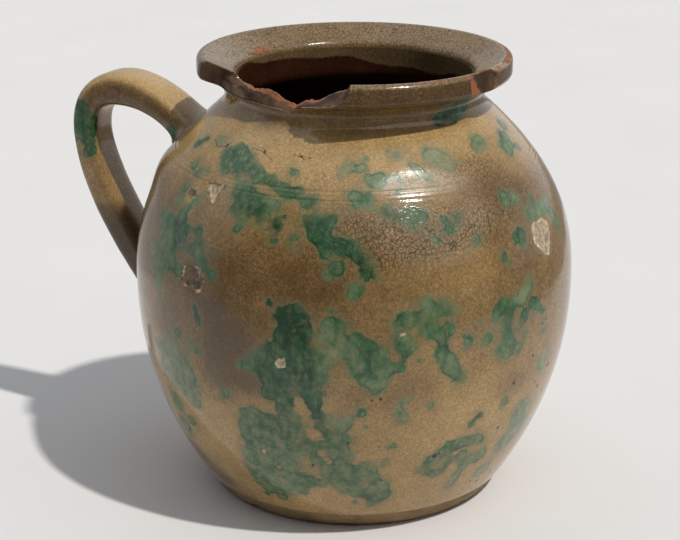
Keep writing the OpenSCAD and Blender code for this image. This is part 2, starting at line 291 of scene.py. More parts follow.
# %% Runs of copper
shoulder_runs = [
    (.72, [(249, 231, 10), (253.5, 229.5, 10), (258, 228, 6), (262, 226, 4), (267, 223.3, 3.2),
           (271, 221, 3.2), (274.5, 219.5, 4.6), (276, 219, 4.4)]),
    (.78, [(258.5, 216, 6), (261.5, 213, 8.5), (265, 211, 7.5), (267.5, 206, 4.2)]),
    (.7, [(259, 208, 5), (261, 205, 3.5)]), (.45, [(269, 212, 4), (271.5, 211.5, 3)]),
    (.95, [(272.5, 201, 5.2)]), (.8, [(281.5, 215, 4.8)]), (.3, [(274.5, 229, 2.6)]),
    (.6, [(261.5, 197.5, 2.2)]), (.6, [(277.5, 195.7, 2.4), (279, 197, 1.5)]),
    (.85, [(282.5, 205, 5), (285, 203.5, 6.5), (288.5, 209, 2.6)]),
    (.85, [(284.5, 200, 6.5), (286, 193, 4), (286, 189, 2)]),
    (.8, [(290.5, 195, 4.5), (294, 190, 5.4), (296.5, 184, 4), (298, 178.5, 3.2)]),
    (.6, [(289.5, 181, 5)]), (.7, [(294.5, 169.7, 4)]), (.2, [(291, 232, 3), (296, 232.5, 3)]),
    (.3, [(299.5, 226.5, 4), (302.5, 226.5, 4)]), (.5, [(308.5, 226.5, 2.4)]),
    (.45, [(295, 217.5, 5), (297.5, 217.5, 5)]), (.4, [(307.5, 220.5, 2.5)]),
    (.65, [(302.5, 211, 3.2), (306.5, 209, 4)]), (.55, [(310.5, 209.5, 4.2), (313.5, 207.5, 3.4)]),
    (.6, [(310, 203.5, 2.4)]), (.7, [(320, 200.7, 3)]), (.7, [(323.5, 203.5, 3.2)]),
    (.4, [(318.5, 206, 1.8)]), (.4, [(316, 195, 1.5)]), (.6, [(328, 191.5, 2.2)]),
    (.12, [(321, 237, 4), (325, 234, 6), (327, 231, 4)]), (.15, [(313, 232, 3), (316, 228, 3), (319, 223, 2)]),
    (.2, [(309, 238, 2.5)]), (.35, [(341.5, 237.5, 4), (345.5, 237.5, 4.5)]), (.65, [(342, 208.3, 4)]),
    (.4, [(345.5, 207, 4.6)]), (.85, [(342.5, 188, 5.8)]), (.7, [(335, 178.3, 2.6)]),
    (.55, [(361, 235, 6), (357, 229, 5)]), (.5, [(365, 228, 3)]), (.5, [(368, 239, 4)]), (.7, [(354, 202.5, 2.4)]),
    (.5, [(350, 196, 4.5), (355, 197, 3.5), (361, 194, 5), (364, 183, 4)]),
    (1, [(331, 250.5, 3), (338, 254, 5), (347, 258, 5.5)])]
belly_runs = [
    (.6, [(286, 128, 5), (286, 118, 5)]), (.6, [(270.5, 124, 6)]), (.65, [(272.5, 104, 5)]),
    (.28, [(288.5, 146, 6), (290.5, 141, 6), (289, 134, 5)]),
    (.5, [(299, 134, 6), (300, 124, 6)]), (.5, [(299.5, 112, 5)]),
    (1, [(278, 153, 8), (281, 152, 7), (279.5, 144, 10.5), (279, 137, 11)]),
    (.85, [(274.5, 128, 9.5), (281.5, 129, 9.5)]), (1, [(273.5, 118, 11), (281, 118, 11)]),
    (.8, [(274, 112, 8), (272.5, 106, 5)]), (.7, [(277.5, 112, 6), (277, 101, 4.5), (276.5, 93, 5)]),
    (.85, [(282.5, 112, 6.5), (284, 102, 5.2), (284.8, 93, 3.2), (286.2, 84, 2.6), (287.5, 77.5, 2.8)]),
    (.5, [(288, 147, 5.5), (290, 146, 5)]), (.85, [(289.5, 152.5, 3.2), (291, 149, 2.5)]),
    (.75, [(294.7, 143.5, 3.4), (296.5, 137, 6), (297.5, 129, 6.5), (298, 121, 5)]),
    (.5, [(293.5, 129, 5), (295, 124, 5)]), (.5, [(297, 114, 3.2), (295, 117.5, 2.5)]),
    (.65, [(301.2, 124.5, 4.2), (303.5, 121.3, 2.6)]),
    (.6, [(305.5, 152, 5), (309, 152.5, 6), (311.5, 146, 4.6), (312, 141.5, 3)]),
    (.8, [(304, 139.5, 3), (306, 135.5, 4.6), (306.5, 131, 3)]), (.5, [(312, 158.5, 4), (316, 158, 4)]),
    (.5, [(314, 151, 2.6)]),
    (.6, [(317, 145.5, 4.2), (315.7, 138, 3.8), (316, 128, 5.2), (318, 120.5, 6), (320, 114.5, 4.4),
          (321.3, 110.5, 2.2)]),
    (.6, [(322.8, 135, 3.4)]), (.35, [(328.3, 133, 4.8)]),
    (.8, [(332.5, 150.5, 5), (336, 148, 4), (334.8, 140, 4.3), (335, 132, 4.8)]), (.45, [(330.8, 146, 4.4)]),
    (.5, [(332.5, 124, 4.8), (335.5, 121, 5)]), (.7, [(337, 126, 2.6)]), (.85, [(340.3, 139, 4.8)]),
    (.3, [(339.5, 152, 5.5)]), (.35, [(343, 158.5, 5)]), 
    (.7, [(344, 147, 4.6), (347, 141.5, 2.4), (349.5, 137.3, 2)]),
    (.4, [(341, 128, 2.8)]), (.35, [(339.5, 121, 3.6)]), (.9, [(350, 125.5, 2.4)]), (.2, [(352, 103, 5.5)]),
    (.3, [(288, 89, 3), (292, 87, 4)]), (.3, [(306, 94.5, 2.6), (306.5, 89, 2.8)]), (.25, [(305.5, 100, 2)]),
    (.3, [(313.5, 95, 2)]), (.3, [(296, 94, 3.6)]), (.4, [(312, 162.5, 3.2)]),
    (.45, [(288.5, 141.7, 6), (292, 134.6, 6)]), (.55, [(295.7, 138.8, 5), (299.5, 134, 5), (301, 126, 4)]),
    (.5, [(302, 121.6, 3.5), (304.5, 124, 3)]), (.6, [(307, 152, 4), (310.7, 148.6, 5), (314, 143.6, 4)]),
    (.5, [(308.5, 136.2, 3.4), (305.2, 142, 3)]), (.55, [(313, 156.5, 4), (316.8, 154, 4)]),
    (.55, [(268.5, 121, 4.5)])]
low_runs = [
    (.5, [(275, 74, 10), (279.5, 70, 8)]), (.42, [(274, 60, 9), (277, 52, 6)]),
    (.55, [(277, 42, 6), (281, 40, 5), (284.5, 40, 3)]),
    (.4, [(272, 42, 9), (274, 34, 7)]), (.45, [(288, 58, 8), (287, 50, 6)]), (.42, [(301, 36, 8), (303, 30, 6)]),
    (.6, [(268, 79, 12.5), (268, 66, 14)]), (.5, [(267, 52, 13.5), (267, 38, 12.5)]),
    (.6, [(265.8, 30, 5), (265.5, 25, 3)]),
    (.6, [(270, 30, 6), (270, 23.5, 3.6)]), (.62, [(272.5, 80, 8), (276.5, 81, 6), (279.5, 79, 4)]),
    (.55, [(276, 93, 4.5), (279.3, 86, 3.5), (279.8, 79, 3.5)]),
    (.6, [(280, 73, 3.2), (283, 70.5, 4), (286.5, 69.5, 4), (289.5, 69, 4)]), (.55, [(283, 68, 3.5), (283, 60, 2)]),
    (.65, [(272.5, 43, 4), (276.5, 45.5, 4.6), (280, 44.5, 4.2), (283.5, 41, 2.6)]),
    (.65, [(276.5, 39, 4.6), (277.8, 33, 4)]),
    (.45, [(290.5, 60, 7), (290.5, 50, 11), (293, 43, 11.5), (297, 39, 12.5)]), (.42, [(296.5, 50, 9)]),
    (.6, [(299, 30, 6.5), (300.2, 22.5, 2.8)]), (.45, [(291, 62, 5), (290.8, 72, 4), (290.8, 84, 4.5)]),
    (.5, [(315.5, 53, 5), (318.5, 59, 4), (322, 62.5, 4.6), (326, 64, 4.2), (330, 64.5, 3), (333, 61, 2.8)]),
    (.5, [(315.5, 47, 4.2), (318.5, 43, 3), (321, 46, 3.5), (322.5, 51, 4), (326.5, 54, 4)]),
    (.4, [(327.5, 46.5, 4), (331, 48, 4.6), (334.5, 48.5, 4.4)]), (.22, [(328, 41, 3), (326.8, 30, 3)]),
    (.95, [(328.5, 82, 3)]), (.4, [(326.5, 77, 2.4)]), (.7, [(337, 86, 2.8)]), (.3, [(304, 69, 2.4)]),
    (.3, [(303, 58, 2)]), (.35, [(344, 51, 8), (348.5, 60, 11), (346.5, 72, 9)]), (.2, [(340, 33, 6)])]
left_runs = [
    (.42, [(242, 116, 6), (245, 106, 7), (247.5, 97, 6)]), (.4, [(238, 184, 7), (236, 170, 7)]),
    (.55, [(243.5, 206, 3)]), (.5, [(241, 201, 3)]), (.6, [(239.5, 196, 3.6)]),
    (.8, [(242, 194, 3.2), (243, 188, 4.8)]),
    (.85, [(243.5, 183, 4.6)]), (.7, [(240.5, 176, 5), (239.5, 169, 4.6)]), (.6, [(237.5, 163, 4.6)]),
    (.85, [(249, 190, 3.8), (250, 184.5, 4.8), (247.5, 181, 3)]), (.75, [(250.5, 177, 3.2)]), (.6, [(252, 172, 2.6)]),
    (.75, [(256, 169.5, 3)]), (.45, [(236, 190, 5.5)]), (.4, [(234.5, 179, 7)]), (.4, [(233.5, 166, 6.5)]),
    (.45, [(235.5, 155, 5)]), (.4, [(231, 190, 5)]), (.4, [(230, 172, 6)]), (.5, [(235, 112, 4), (239, 104, 6)]),
    (.6, [(240.5, 95, 6), (243, 88, 4)]), (.5, [(247, 118, 2.4)]), (.5, [(234, 98, 5)]),
    (.35, [(238.7, 218, 4)]), (.35, [(236.5, 210, 3), (235.5, 203, 3)]),
    (.35, [(233, 221, 3)]), (.8, [(240.5, 192, 4.5), (239.5, 186, 5)]), (.7, [(236.5, 188.7, 4.5), (242.2, 183, 4.5)]),
    (.75, [(248.7, 179.8, 3.6), (253.2, 176, 3.6)]), (.55, [(238, 170.2, 5), (244, 166, 4)]),
    (.12, [(239, 236.5, 4.5)]),
    (.95, [(251.7, 146, 2.4), (252.5, 141.5, 2.4)]),
    (.7, [(244.5, 127.5, 3)]), (.55, [(250, 124, 1.8), (252.5, 121, 1.4)]), (.6, [(240.5, 125, 2)]),
    (.7, [(257.3, 103, 2.3)]), (.6, [(259.8, 96, 2.7)]), (.4, [(243, 106, 8), (239, 99, 9)]), (.4, [(246, 98, 4.5)]),
    (.3, [(236, 147, 3)]), (.45, [(247, 84, 6)]), (.3, [(242, 65, 4.5)]), (.35, [(236, 75, 8)]), (.3, [(235, 55, 8)]),
    (.7, [(226, 230, 3), (229, 234, 2.4)]), (.55, [(222, 60, 9), (224, 48, 6)]), (.6, [(215, 110, 7), (217, 101, 5)]),
    (.7, [(210, 190, 6), (212, 183, 3.5)]), (.7, [(205, 150, 6), (206, 141, 4)]), (.6, [(200, 80, 7), (202, 70, 4)])]
back_runs = [
    (.8, [(20, 190, 8), (22, 182, 5.5), (22, 175, 3)]), (.9, [(36, 150, 10), (37, 138, 6.5), (38, 130, 3)]),
    (.85, [(58, 112, 5), (62, 108, 9), (63, 96, 6.5), (64, 86, 3)]),
    (.9, [(76, 184, 11), (80, 176, 6.5), (81, 168, 3)]),
    (.6, [(96, 76, 12), (101, 70, 8), (99, 58, 5)]), (.9, [(106, 206, 8), (112, 203, 4.5)]),
    (.9, [(122, 138, 10), (124, 124, 7.5), (125, 114, 4)]), (.6, [(138, 62, 13), (145, 58, 8), (139, 46, 6)]),
    (.8, [(150, 192, 6), (152, 186, 4.5)]), (.5, [(48, 205, 4)]), (.6, [(50, 80, 5), (52, 73, 3)]),
    (.6, [(88, 140, 4), (90, 148, 3)]), (.6, [(130, 180, 4)]), (.7, [(160, 120, 5.5), (163, 110, 4.5)]),
    (.6, [(170, 60, 7), (172, 49, 4)]), (.5, [(14, 90, 6), (15, 80, 4)]), (.6, [(28, 60, 9), (30, 47, 6)]),
    (.55, [(74, 44, 8), (76, 33, 5)]), (.5, [(110, 40, 6)]), (.7, [(190, 210, 4.5)]),
    (.6, [(66, 222, 5), (70, 217, 4)]),
    (.4, [(100, 228, 4)]), (.6, [(136, 218, 5), (140, 211, 3)]), (.5, [(40, 220, 3)]),
    (.6, [(174, 150, 6), (176, 140, 3.5)])]
gaps = [[(263.7, 203.5, 1.4), (261.8, 205, 1)], [(281.5, 54, 3), (284, 49, 2)],
        [(282.3, 81, 3), (280.8, 94, 1.4), (280.3, 103, 1.2)], [(319, 137, 2.4)], [(317.6, 49, 1.8)],
        [(285, 63.5, 1.4), (287, 57.5, 1)], [(298, 41, 2), (297, 36, 1.4)], [(272, 50, .8), (271.6, 34, 1)],
        [(317, 143, 1.4)], [(308.5, 147, 1.6)], [(279, 72, 1.2), (276, 66, .8)]]
runs = shoulder_runs + belly_runs + low_runs + left_runs + back_runs
print("copper runs:", len(runs), "with", sum(len(chain) for _, chain in runs), "drops")

# %% [markdown]
# ## Distance over the surface
# Straight strokes join the drops of a chain. A point's distance to all runs, joined softly, tells the
# material where green begins. Distances are measured on the unrolled side of the jar.

# %% Distance to the copper
line_length = np.concatenate([[0], np.cumsum(np.linalg.norm(np.diff(outline[:300], axis=0), axis=1))])


def up_to(height):
    """Length of the body's line up to a height, so that the shoulder isn't foreshortened."""
    return np.interp(height, outline[:300, 1], line_length) + np.maximum(height - SHOULDER[1], 0)


def unrolled(points):
    """Bearing in degrees, radius, and length up the side of each point."""
    return (np.degrees(np.arctan2(points[..., 1], points[..., 0])), np.hypot(points[..., 0], points[..., 1]),
            up_to(points[..., 2]))


def apart(place, bearing, height):
    """Sideways and upwards distance, over the surface, from a mark to each point."""
    angle, radius, up = place
    return np.radians((angle - bearing + 180) % 360 - 180) * radius, up - up_to(height)


def to_chain(place, chain):
    """Distance to a chain of drops. Between two drops the nearest place is found on the straight line
    from one to the other, and the radius there lies evenly between theirs."""
    near = np.full(place[0].shape, 99.0)
    for (from_b, from_h, from_r), (to_b, to_h, to_r) in zip(chain, chain[1:] or chain):
        side, up = apart(place, from_b, from_h)
        over = math.radians(to_b - from_b) * float(body_radius(np.array((from_h + to_h) / 2)))
        rise = up_to(to_h) - up_to(from_h)
        t = np.clip((side * over + up * rise) / (over ** 2 + rise ** 2 + 1e-9), 0, 1)
        near = np.minimum(near, np.hypot(side - t * over, up - t * rise) - from_r - t * (to_r - from_r))
    return near


def copper_field(place, blend=1.1):
    """Distance in millimetres to the edge of the nearest runs, below 0 inside them, and their
    strength. Distances d join as -blend * log(sum of exp(-d / blend))."""
    near = np.full(place[0].shape, 1e-9)
    strong = np.zeros(place[0].shape)
    for strength, chain in runs:
        share = np.exp(-np.clip(to_chain(place, chain), -10, 22) / blend)
        near += share
        strong += share * strength
    distance = -blend * np.log(near)
    for gap in gaps:
        distance = np.maximum(distance, -to_chain(place, gap))
    return distance, strong / near


print("the body's side is", round(float(line_length[-1])), "mm long")

# %% [markdown]
# ## Flakes, stains and scratched lines
# Where moisture got behind the coats, flakes came off and the white slip shows, or the rough clay.
# A flake is an outline of straight sides. Smoke in the kiln left grey clouds, and the honey is deeper
# on the belly than at the shoulder and the foot. The first three clouds in the smoke list, low on the
# left side by the foot, are painted shade. Lines were scratched into the soft clay with a point while
# the wheel turned. A cloud is a bearing, a height, two half widths and a strength.

# %% Marks of age
flakes = [
    (.15, [(348.3, 189), (350, 191.3), (355.3, 191), (357.3, 187), (357.2, 181), (356, 175), (354, 169.7),
           (350.5, 173.5), (348, 181)]),
    (1.1, [(246, 169), (248.3, 172.5), (252.5, 171.5), (254.3, 166), (253.3, 158.5), (250, 156), (247, 158),
           (245.5, 163)]),
    (.2, [(244.8, 216.3), (251.3, 217.3), (250.8, 206.7), (247, 211)]),
    (.95, [(238.2, 208.3), (239.3, 210.7), (241.7, 210.5), (242.6, 208), (241.3, 205.8), (239.3, 206)]),
    (.1, [(274.9, 127), (277.2, 127.4), (277.6, 122.2), (275.3, 121.3)]),
    (.2, [(268, 60.6), (270, 60.2), (269.8, 57.8), (268, 57.6)]),
    (.25, [(304.8, 144.2), (308.4, 143.7), (308, 142), (305.4, 142.3)]),
    (.4, [(58, 164), (62, 166), (63.5, 159), (60, 153), (57.5, 157)]),
    (.3, [(126.5, 103), (129, 105), (130, 98), (127, 95.5)]), (.5, [(181, 143), (185, 144), (185, 137), (182, 136)])]
dull = [(299, 223, 12, 7, .5), (314, 224, 12, 10, .9), (328, 222, 9, 9, .5), (329, 203, 8, 9, .6),
        (245, 240, 7, 7, .5)]
# The first three clouds, on the lower left by the foot, are painted shade rather than smoke.
smoke = [(236, 30, 9, 12, 1), (228, 38, 8, 14, 1), (244, 21, 8, 8, .9), (244, 172, 8, 16, .4), (261, 142, 8, 18, .7),
         (256, 100, 6, 16, .35), (264, 122, 9, 20, 1.05), (269, 108, 7, 12, .5), (254, 152, 6, 8, .6),
         (240, 132, 9, 26, .7), (258, 110, 6, 14, .4), (309, 110, 7, 13, .5), (339, 98, 9, 13, .65),
         (288, 118, 5, 16, .35), (300, 158, 8, 6, .25), (40, 110, 14, 20, .5), (120, 160, 18, 18, .5)]
warm = [(256, 249, 14, 6, -.3), (320, 172, 16, 16, .2), (262, 180, 16, 18, -.04), (340, 222, 16, 18, -.34),
        (352, 205, 10, 20, -.12), (300, 196, 12, 12, -.08), (285, 170, 12, 14, -.12), (300, 105, 9, 14, -.12),
        (252, 60, 16, 26, .1), (305, 240, 16, 5, -.08), (90, 190, 30, 24, -.12), (325, 90, 12, 20, .06),
        (30, 100, 24, 30, .1), (241, 206, 3.2, 8, .6)]
crazed = [(300, 197, 16, 18, 1), (322, 199, 16, 15, .8), (337, 226, 11, 14, .5), (284, 226, 14, 12, .3),
          (282, 180, 20, 14, .25), (345, 205, 9, 14, .4), (320, 228, 16, 10, .35), (30, 205, 40, 20, .5),
          (110, 196, 40, 22, .5), (190, 200, 30, 20, .4)]
pressed_clay = [(206, 210, 16, 15, 3.4)]
SCRATCHED = [(216.6, .2), (219, .1), (221.2, .2)]
print("flakes:", len(flakes), "smoke clouds:", len(smoke))

# %% [markdown]
# ## Fields of the marks
# All of these marks are fields over the surface too, as the copper is: distances to the flakes, sums
# of soft clouds, and the depth of the lines.

# %% Flakes, clouds and lines
def to_flake(place, shape):
    """Distance to a closed outline of straight sides, below 0 inside. A point is inside when a line
    from it to the right crosses the sides an odd number of times."""
    side, up = apart(place, *shape[0])
    scale = math.radians(1) * float(body_radius(np.array(shape[0][1])))
    knots = [((b - shape[0][0]) * scale, up_to(h) - up_to(shape[0][1])) for b, h in shape]
    near, odd = np.full(side.shape, 99.0), np.zeros(side.shape, bool)
    for (ax, ay), (bx, by) in zip(knots, knots[1:] + knots[:1]):
        dx, dy = bx - ax, by - ay
        t = np.clip(((side - ax) * dx + (up - ay) * dy) / (dx ** 2 + dy ** 2), 0, 1)
        near = np.minimum(near, np.hypot(side - ax - t * dx, up - ay - t * dy))
        odd ^= ((ay > up) != (by > up)) & (side < ax + (up - ay) * dx / (dy + 1e-9))
    return np.where(odd, -near, near)


def flake_field(place):
    """Distance in millimetres to the edge of the nearest flake, and how dirty that flake is."""
    near, dirt = np.full(place[0].shape, 12.0), np.zeros(place[0].shape)
    for dirty, shape in flakes:
        edge = to_flake(place, shape)
        dirt = np.where(edge < near, dirty, dirt)
        near = np.minimum(near, edge)
    return near, dirt


def clouds(place, listed):
    """A sum of soft round clouds, each one a strength times exp(-distance squared)."""
    total = np.zeros(place[0].shape)
    for bearing, height, wide, tall, strength in listed:
        side, up = apart(place, bearing, height)
        degree = math.radians(1) * float(body_radius(np.array(height)))
        total += strength * np.exp(-(side / (wide * degree)) ** 2 - (up / tall) ** 2)
    return total


def scratches(points):
    """Depth of the lines scratched round the shoulder, each a bell curve across its width."""
    wander = points[..., 2] + .25 * lumps(points, 40, 5)
    return sum(depth * np.exp(-((wander - height) / .5) ** 2) for height, depth in SCRATCHED)


print("deepest scratched line:", max(depth for _, depth in SCRATCHED), "mm")

# %% [markdown]
# ## The glazed body
# This is the skin of slip and glaze that the whole jar wears outside. It could be left as the CAD
# coat with a material, but real glaze swims a little, stands thicker where copper ran, and has
# craters where it flaked. So the coat is turned again on a fine grid and pushed in and out by the
# fields above.

# %% Turn the glazed body
def glaze_relief(points):
    """How far the skin stands over the CAD outline: slow swimming, copper and the clay pressed out
    under the handle up, flakes and lines down."""
    place = unrolled(points)
    copper, strong = copper_field(place)
    flake, dirt = flake_field(place)
    swim = .1 * lumps(points, 34, 1) + .03 * lumps(points, 12, 2)
    turns = .03 * np.sin(points[..., 2] * .42 + 1.5 * lumps(points * (1, 1, .2), 90, 3))
    raised = .08 * ease(-copper, -1, 3) * strong
    crater = .55 * ease(-flake, -.6, 1.2) + .12 * ease(-flake, 0, 3) * lumps(points, 3, 4)
    return -.33 + swim + turns + raised + clouds(place, pressed_clay) - crater - scratches(points)


outer = turned(glaze_line, SIDES)
outer = pushed(outer, glaze_line, glaze_relief(outer))
inner = turned(spaced(inset(outline, COAT - .05), np.where(z > 247, 6, 18))[::-1], SIDES)
glazed_body = sheet("glazed_body", np.concatenate([outer, inner]))
print("glazed body:", 2 * len(glazed_body.data.polygons), "triangles before the break")

# %% [markdown]
# ## The break
# Earthenware breaks with a coarse, stepped face. The broken part is cut away with a tool, as the CAD
# model does it, but the tool's floor is rough at three scales, so that the clay shows a torn face and
# the glaze a ragged edge. Four rows of heights, one for each of four radii, give the floor a ledge
# inside the wall, and its left end leans, so that the rim is undercut there.

# %% The tool that breaks the rim
break_turn = np.array([0, 2, 4, 6, 8, 11, 28, 32, 35, 40, 47, 54.5, 63, 72, 79, 82])
break_heights = np.array([
    [16, 14, 8, 0, -8, -12.5, -12.5, -12, -10, -9.5, -13, -18.5, -14, -9.5, -4, 7],
    [16, 14, 8, 0, -11, -13.5, -14, -14.5, -16, -17.4, -19.5, -21.6, -16, -12, -6, 6],
    [60, 50, 30, 12, -10, -25, -26, -24, -21, -20, -21, -22.4, -16.5, -12.6, -6.5, 6],
    [10, -30, -34, -34, -34, -34, -34, -34, -34, -34, -33, -28, -20, -17, -10, 4]])
BREAK_RADII = (70, 81, 84, 104)
BREAK_FROM, BREAK_WIDE = 212, 82.5


def past_break(points):
    """Degrees round the rim from the break's left end to each point."""
    return (np.degrees(np.arctan2(points[..., 1], points[..., 0])) - BREAK_FROM) % 360


def break_height(points):
    """Height of the fracture under each point: straight between four radii, and between stations
    that are joined by straight lines round the rim."""
    turn = past_break(points)
    turn = np.where(turn > 220, 0, turn)
    radius = np.hypot(points[..., 0], points[..., 1])
    steps = [np.interp(turn, break_turn, row) for row in break_heights]
    height = steps[0]
    for near, far, start, end in zip(BREAK_RADII, BREAK_RADII[1:], steps, steps[1:]):
        height = height + (end - start) * np.clip((radius - near) / (far - near), 0, 1)
    return JAR_H + np.clip(height, -34, 18)


def torn(points, seed):
    """Roughness of a torn face: coarse steps, lumps and grains."""
    coarse = lumps(points, 11, seed)
    return 1.1 * np.sign(coarse) * np.abs(coarse) ** .5 + .7 * lumps(points, 4.5, seed + 1) \
        + .4 * lumps(points, 1.8, seed + 2)


bearing = np.radians(BREAK_FROM + np.linspace(-.5, BREAK_WIDE, 330))[:, None, None]
across = np.linspace(66, 108, 84)[None, :, None]
tool_floor = np.concatenate(np.broadcast_arrays(
    across * np.cos(bearing), across * np.sin(bearing), 0 * across), -1)
tool_floor[..., 2] = break_height(tool_floor)
tool_floor[..., 2] += torn(tool_floor, 11)
lean = np.radians(.5 * (np.clip(tool_floor[..., 2], 255, 284) - 267))
lean = lean * ease(-bearing[..., 0], -math.radians(BREAK_FROM + 14), -math.radians(BREAK_FROM + 7))
tool_floor = swung(tool_floor, lean)
tool_lid = tool_floor[:, [-1, 0]].copy()
tool_lid[..., 2] = 310
break_tool = sheet("break_tool", np.concatenate([tool_floor, tool_lid], 1), close_rows=False)
print("break tool:", len(break_tool.data.polygons), "faces")

# %% [markdown]
# ## The chip
# A lumpy ellipsoid takes the chip out of the lip at the right. A Boolean modifier does the cutting
# with both tools, once for each piece.

# %% Chip the lip and cut
CHIP_BEARING = math.radians(346)
CHIP_CENTRE, CHIP_HALF = np.array([102.3, 0, 276]), np.array([10, 17, 24])
theta, phi = np.meshgrid(np.radians(np.linspace(4, 176, 44)), np.linspace(0, 2 * math.pi, 72, endpoint=False),
                         indexing="ij")
blob = np.stack([CHIP_HALF[0] * np.sin(theta) * np.cos(phi), CHIP_HALF[1] * np.sin(theta) * np.sin(phi),
                 CHIP_HALF[2] * np.cos(theta)], -1)
blob *= 1 + .09 * lumps(blob, 7, 21)[..., None] + .05 * lumps(blob, 3, 22)[..., None]
chip_points = swung(blob + CHIP_CENTRE, CHIP_BEARING)
chip_tool = sheet("chip_tool", chip_points, close_rows=False)


def cut_away(piece, *tools):
    """Takes the tools' shapes out of a piece and keeps the result as its mesh."""
    for tool in tools:
        cut = piece.modifiers.new("cut", "BOOLEAN")
        cut.operation, cut.object, cut.solver = "DIFFERENCE", tool, "EXACT"
    solid = piece.evaluated_get(bpy.context.evaluated_depsgraph_get())
    piece.data = bpy.data.meshes.new_from_object(solid)
    piece.modifiers.clear()


cut_away(glazed_body, break_tool, chip_tool)
smooth(glazed_body)
print("glazed body after the break:", len(glazed_body.data.polygons), "faces")

# %% [markdown]
# ## Fields on the glazed body
# The Boolean makes new points, so the fields are worked out afterwards from where each point is.
# The material reads them by name: copper and its strength, flakes and their dirt, smoke with some
# painted shade, the tone of the honey with painted shade under the lip and painted light on part of
# the rim's top, wear along the lip, distance from the break, scratched lines, crazing, dull stretches,
# and dust that went grey on the flat top of the rim.

# %% Write the fields
def to_break(points):
    """Distance over the fracture or from the chip's hollow, in millimetres, at most 15."""
    turn, height = past_break(points), points[..., 2]
    inside = (turn < BREAK_WIDE) & (height > 225)
    drop = np.where(inside, break_height(points) - height, 15) * .75
    side = np.minimum(np.abs(turn - 82.3), np.abs((turn + 180) % 360 - 180 - .2)) * 1.6
    drop = np.where(~inside & (height > 262), side, drop)
    way = swung(points - swung(CHIP_CENTRE, CHIP_BEARING), -CHIP_BEARING)
    chip = (np.linalg.norm(way / CHIP_HALF, axis=-1) - 1) * 12
    return np.clip(np.minimum(np.abs(drop), np.abs(chip)), 0, 15)


def bell(place, bearing, wide):
    """A bell curve round the jar, with its top at a bearing."""
    return np.exp(-(((place[0] - bearing + 180) % 360 - 180) / wide) ** 2)


def lip_wear(place, height):
    """Wear from 0 to 1 along the lip's upper edge and the throat's edge, stronger on some stretches."""
    lip = np.exp(-((place[1] - 96) ** 2 + (height - 280) ** 2) / 7)
    throat = np.exp(-((place[1] - 75.5) ** 2 + (height - 270) ** 2) / 14)
    return np.clip(lip * (.28 + 1.1 * bell(place, 20, 22) + .5 * bell(place, 326, 16) + .3 * bell(place, 130, 18))
                   + throat * (.15 + 1.1 * bell(place, 167, 7) + .6 * bell(place, 42, 5)), 0, 1)


# Tone by height. Under the lip, from about 250 to 267 mm, the low tone is painted shade.
height_tone_and_shade_under_lip = ([12, 40, 85, 105, 125, 150, 165, 180, 200, 212, 222, 232, 247, 256, 262, 268, 276, 281],
               [.76, .75, .74, .6, .52, .42, .34, .34, .44, .52, .74, .84, .82, .3, .2, .03, .12, .5])
spots = corners(glazed_body)
place, height = unrolled(spots), spots[:, 2]
copper, strength = copper_field(place)
flake, dirt = flake_field(place)
rim_top = ease(height - 265 - .5 * (place[1] - THROAT_R), 0, 3) * ease(height, 262, 266)
lip_face = ease(place[1], 96.4, 97.6) * ease(height, 265, 269)
# On the rim's top the tone rises towards bearing 5: painted light where the rim faces the lamp.
note(glazed_body, copper=np.clip(copper, -9, 14), strength=strength, flake=flake, dirt=dirt,
     smoke=clouds(place, smoke), dull=clouds(place, dull),
     tone=np.interp(height, *height_tone_and_shade_under_lip) * (1 - rim_top) + rim_top * (.43 + .38 * bell(place, 5, 40))
     + clouds(place, warm),
     wear=lip_wear(place, height), broken=to_break(spots), scratch=scratches(spots) * 4,
     craze=.05 + clouds(place, crazed) + .66 * rim_top + .72 * lip_face,
     dusty=rim_top * (.35 + .6 * bell(place, 192, 24) + .25 * bell(place, 18, 30)))

# %% [markdown]
# ## The clay of the rim
# Behind the glaze is red clay, fired brown. It shows only where the rim is broken and chipped, so
# the same tools cut it. Its torn face carries the roughness of the tool's floor.

# %% Turn and break the rim's clay
wall_in = inset(body_line(39, SHOULDER[1], 200), WALL)
rise = (wall_in[1] - wall_in[0]) / (wall_in[1, 1] - wall_in[0, 1])
floor_hit = wall_in[0] - (wall_in[0, 1] - FLOOR_TOP) * rise
neck_hit = (THROAT_R, wall_in[-1, 1] + (wall_in[-1, 0] - THROAT_R) * math.tan(math.radians(41)))
inside_line = np.concatenate([
    [[0, FLOOR_TOP], [40, FLOOR_TOP]], rounded((0, FLOOR_TOP), floor_hit, wall_in[1], 14), wall_in[1:-1],
    rounded(wall_in[-2], neck_hit, (THROAT_R, THROAT_Z), 8), [[THROAT_R, THROAT_Z]]])
under_glaze = inset(inside_line, -GLAZE)
rim_outer = inset(outline, COAT + .03)[300:]
rim_inner = under_glaze[under_glaze[:, 1] > 243][::-1]
rim_outer, rim_inner = spaced(rim_outer, 1.3), spaced(rim_inner, 2.5)
rim_clay = sheet("rim_clay", turned(np.concatenate([rim_outer, rim_inner]), SIDES))
cut_away(rim_clay, break_tool, chip_tool)
smooth(rim_clay)
spots = corners(rim_clay)
place = unrolled(spots)
inner_edge = np.exp(-((place[1] - 75.5) / 2.2) ** 2)
fresh = inner_edge * (.5 + bell(place, 240, 6) + bell(place, 274, 7)) + .32 * bell(place, 252, 15) \
    + 1.1 * bell(place, 340.5 - .5 * (spots[:, 2] - 274), 5)
spall = ease(place[1], 80.3, 81) * ease(-place[1], -85, -83.5) * ease(-spots[:, 2], -267, -265.5) \
    * bell(place, 229, 13)
note(rim_clay, fresh=fresh, hollow=torn(spots * (1, 1, 0) + (0, 0, 255), 11), spall=spall)

# %% [markdown]
# ## The glaze inside
# The inside wears one thin coat of dark red-brown glaze over the bare clay. The honey glaze of the
# rim ran over the throat's edge in a wavy hem, so the skin carries a field for that spill.

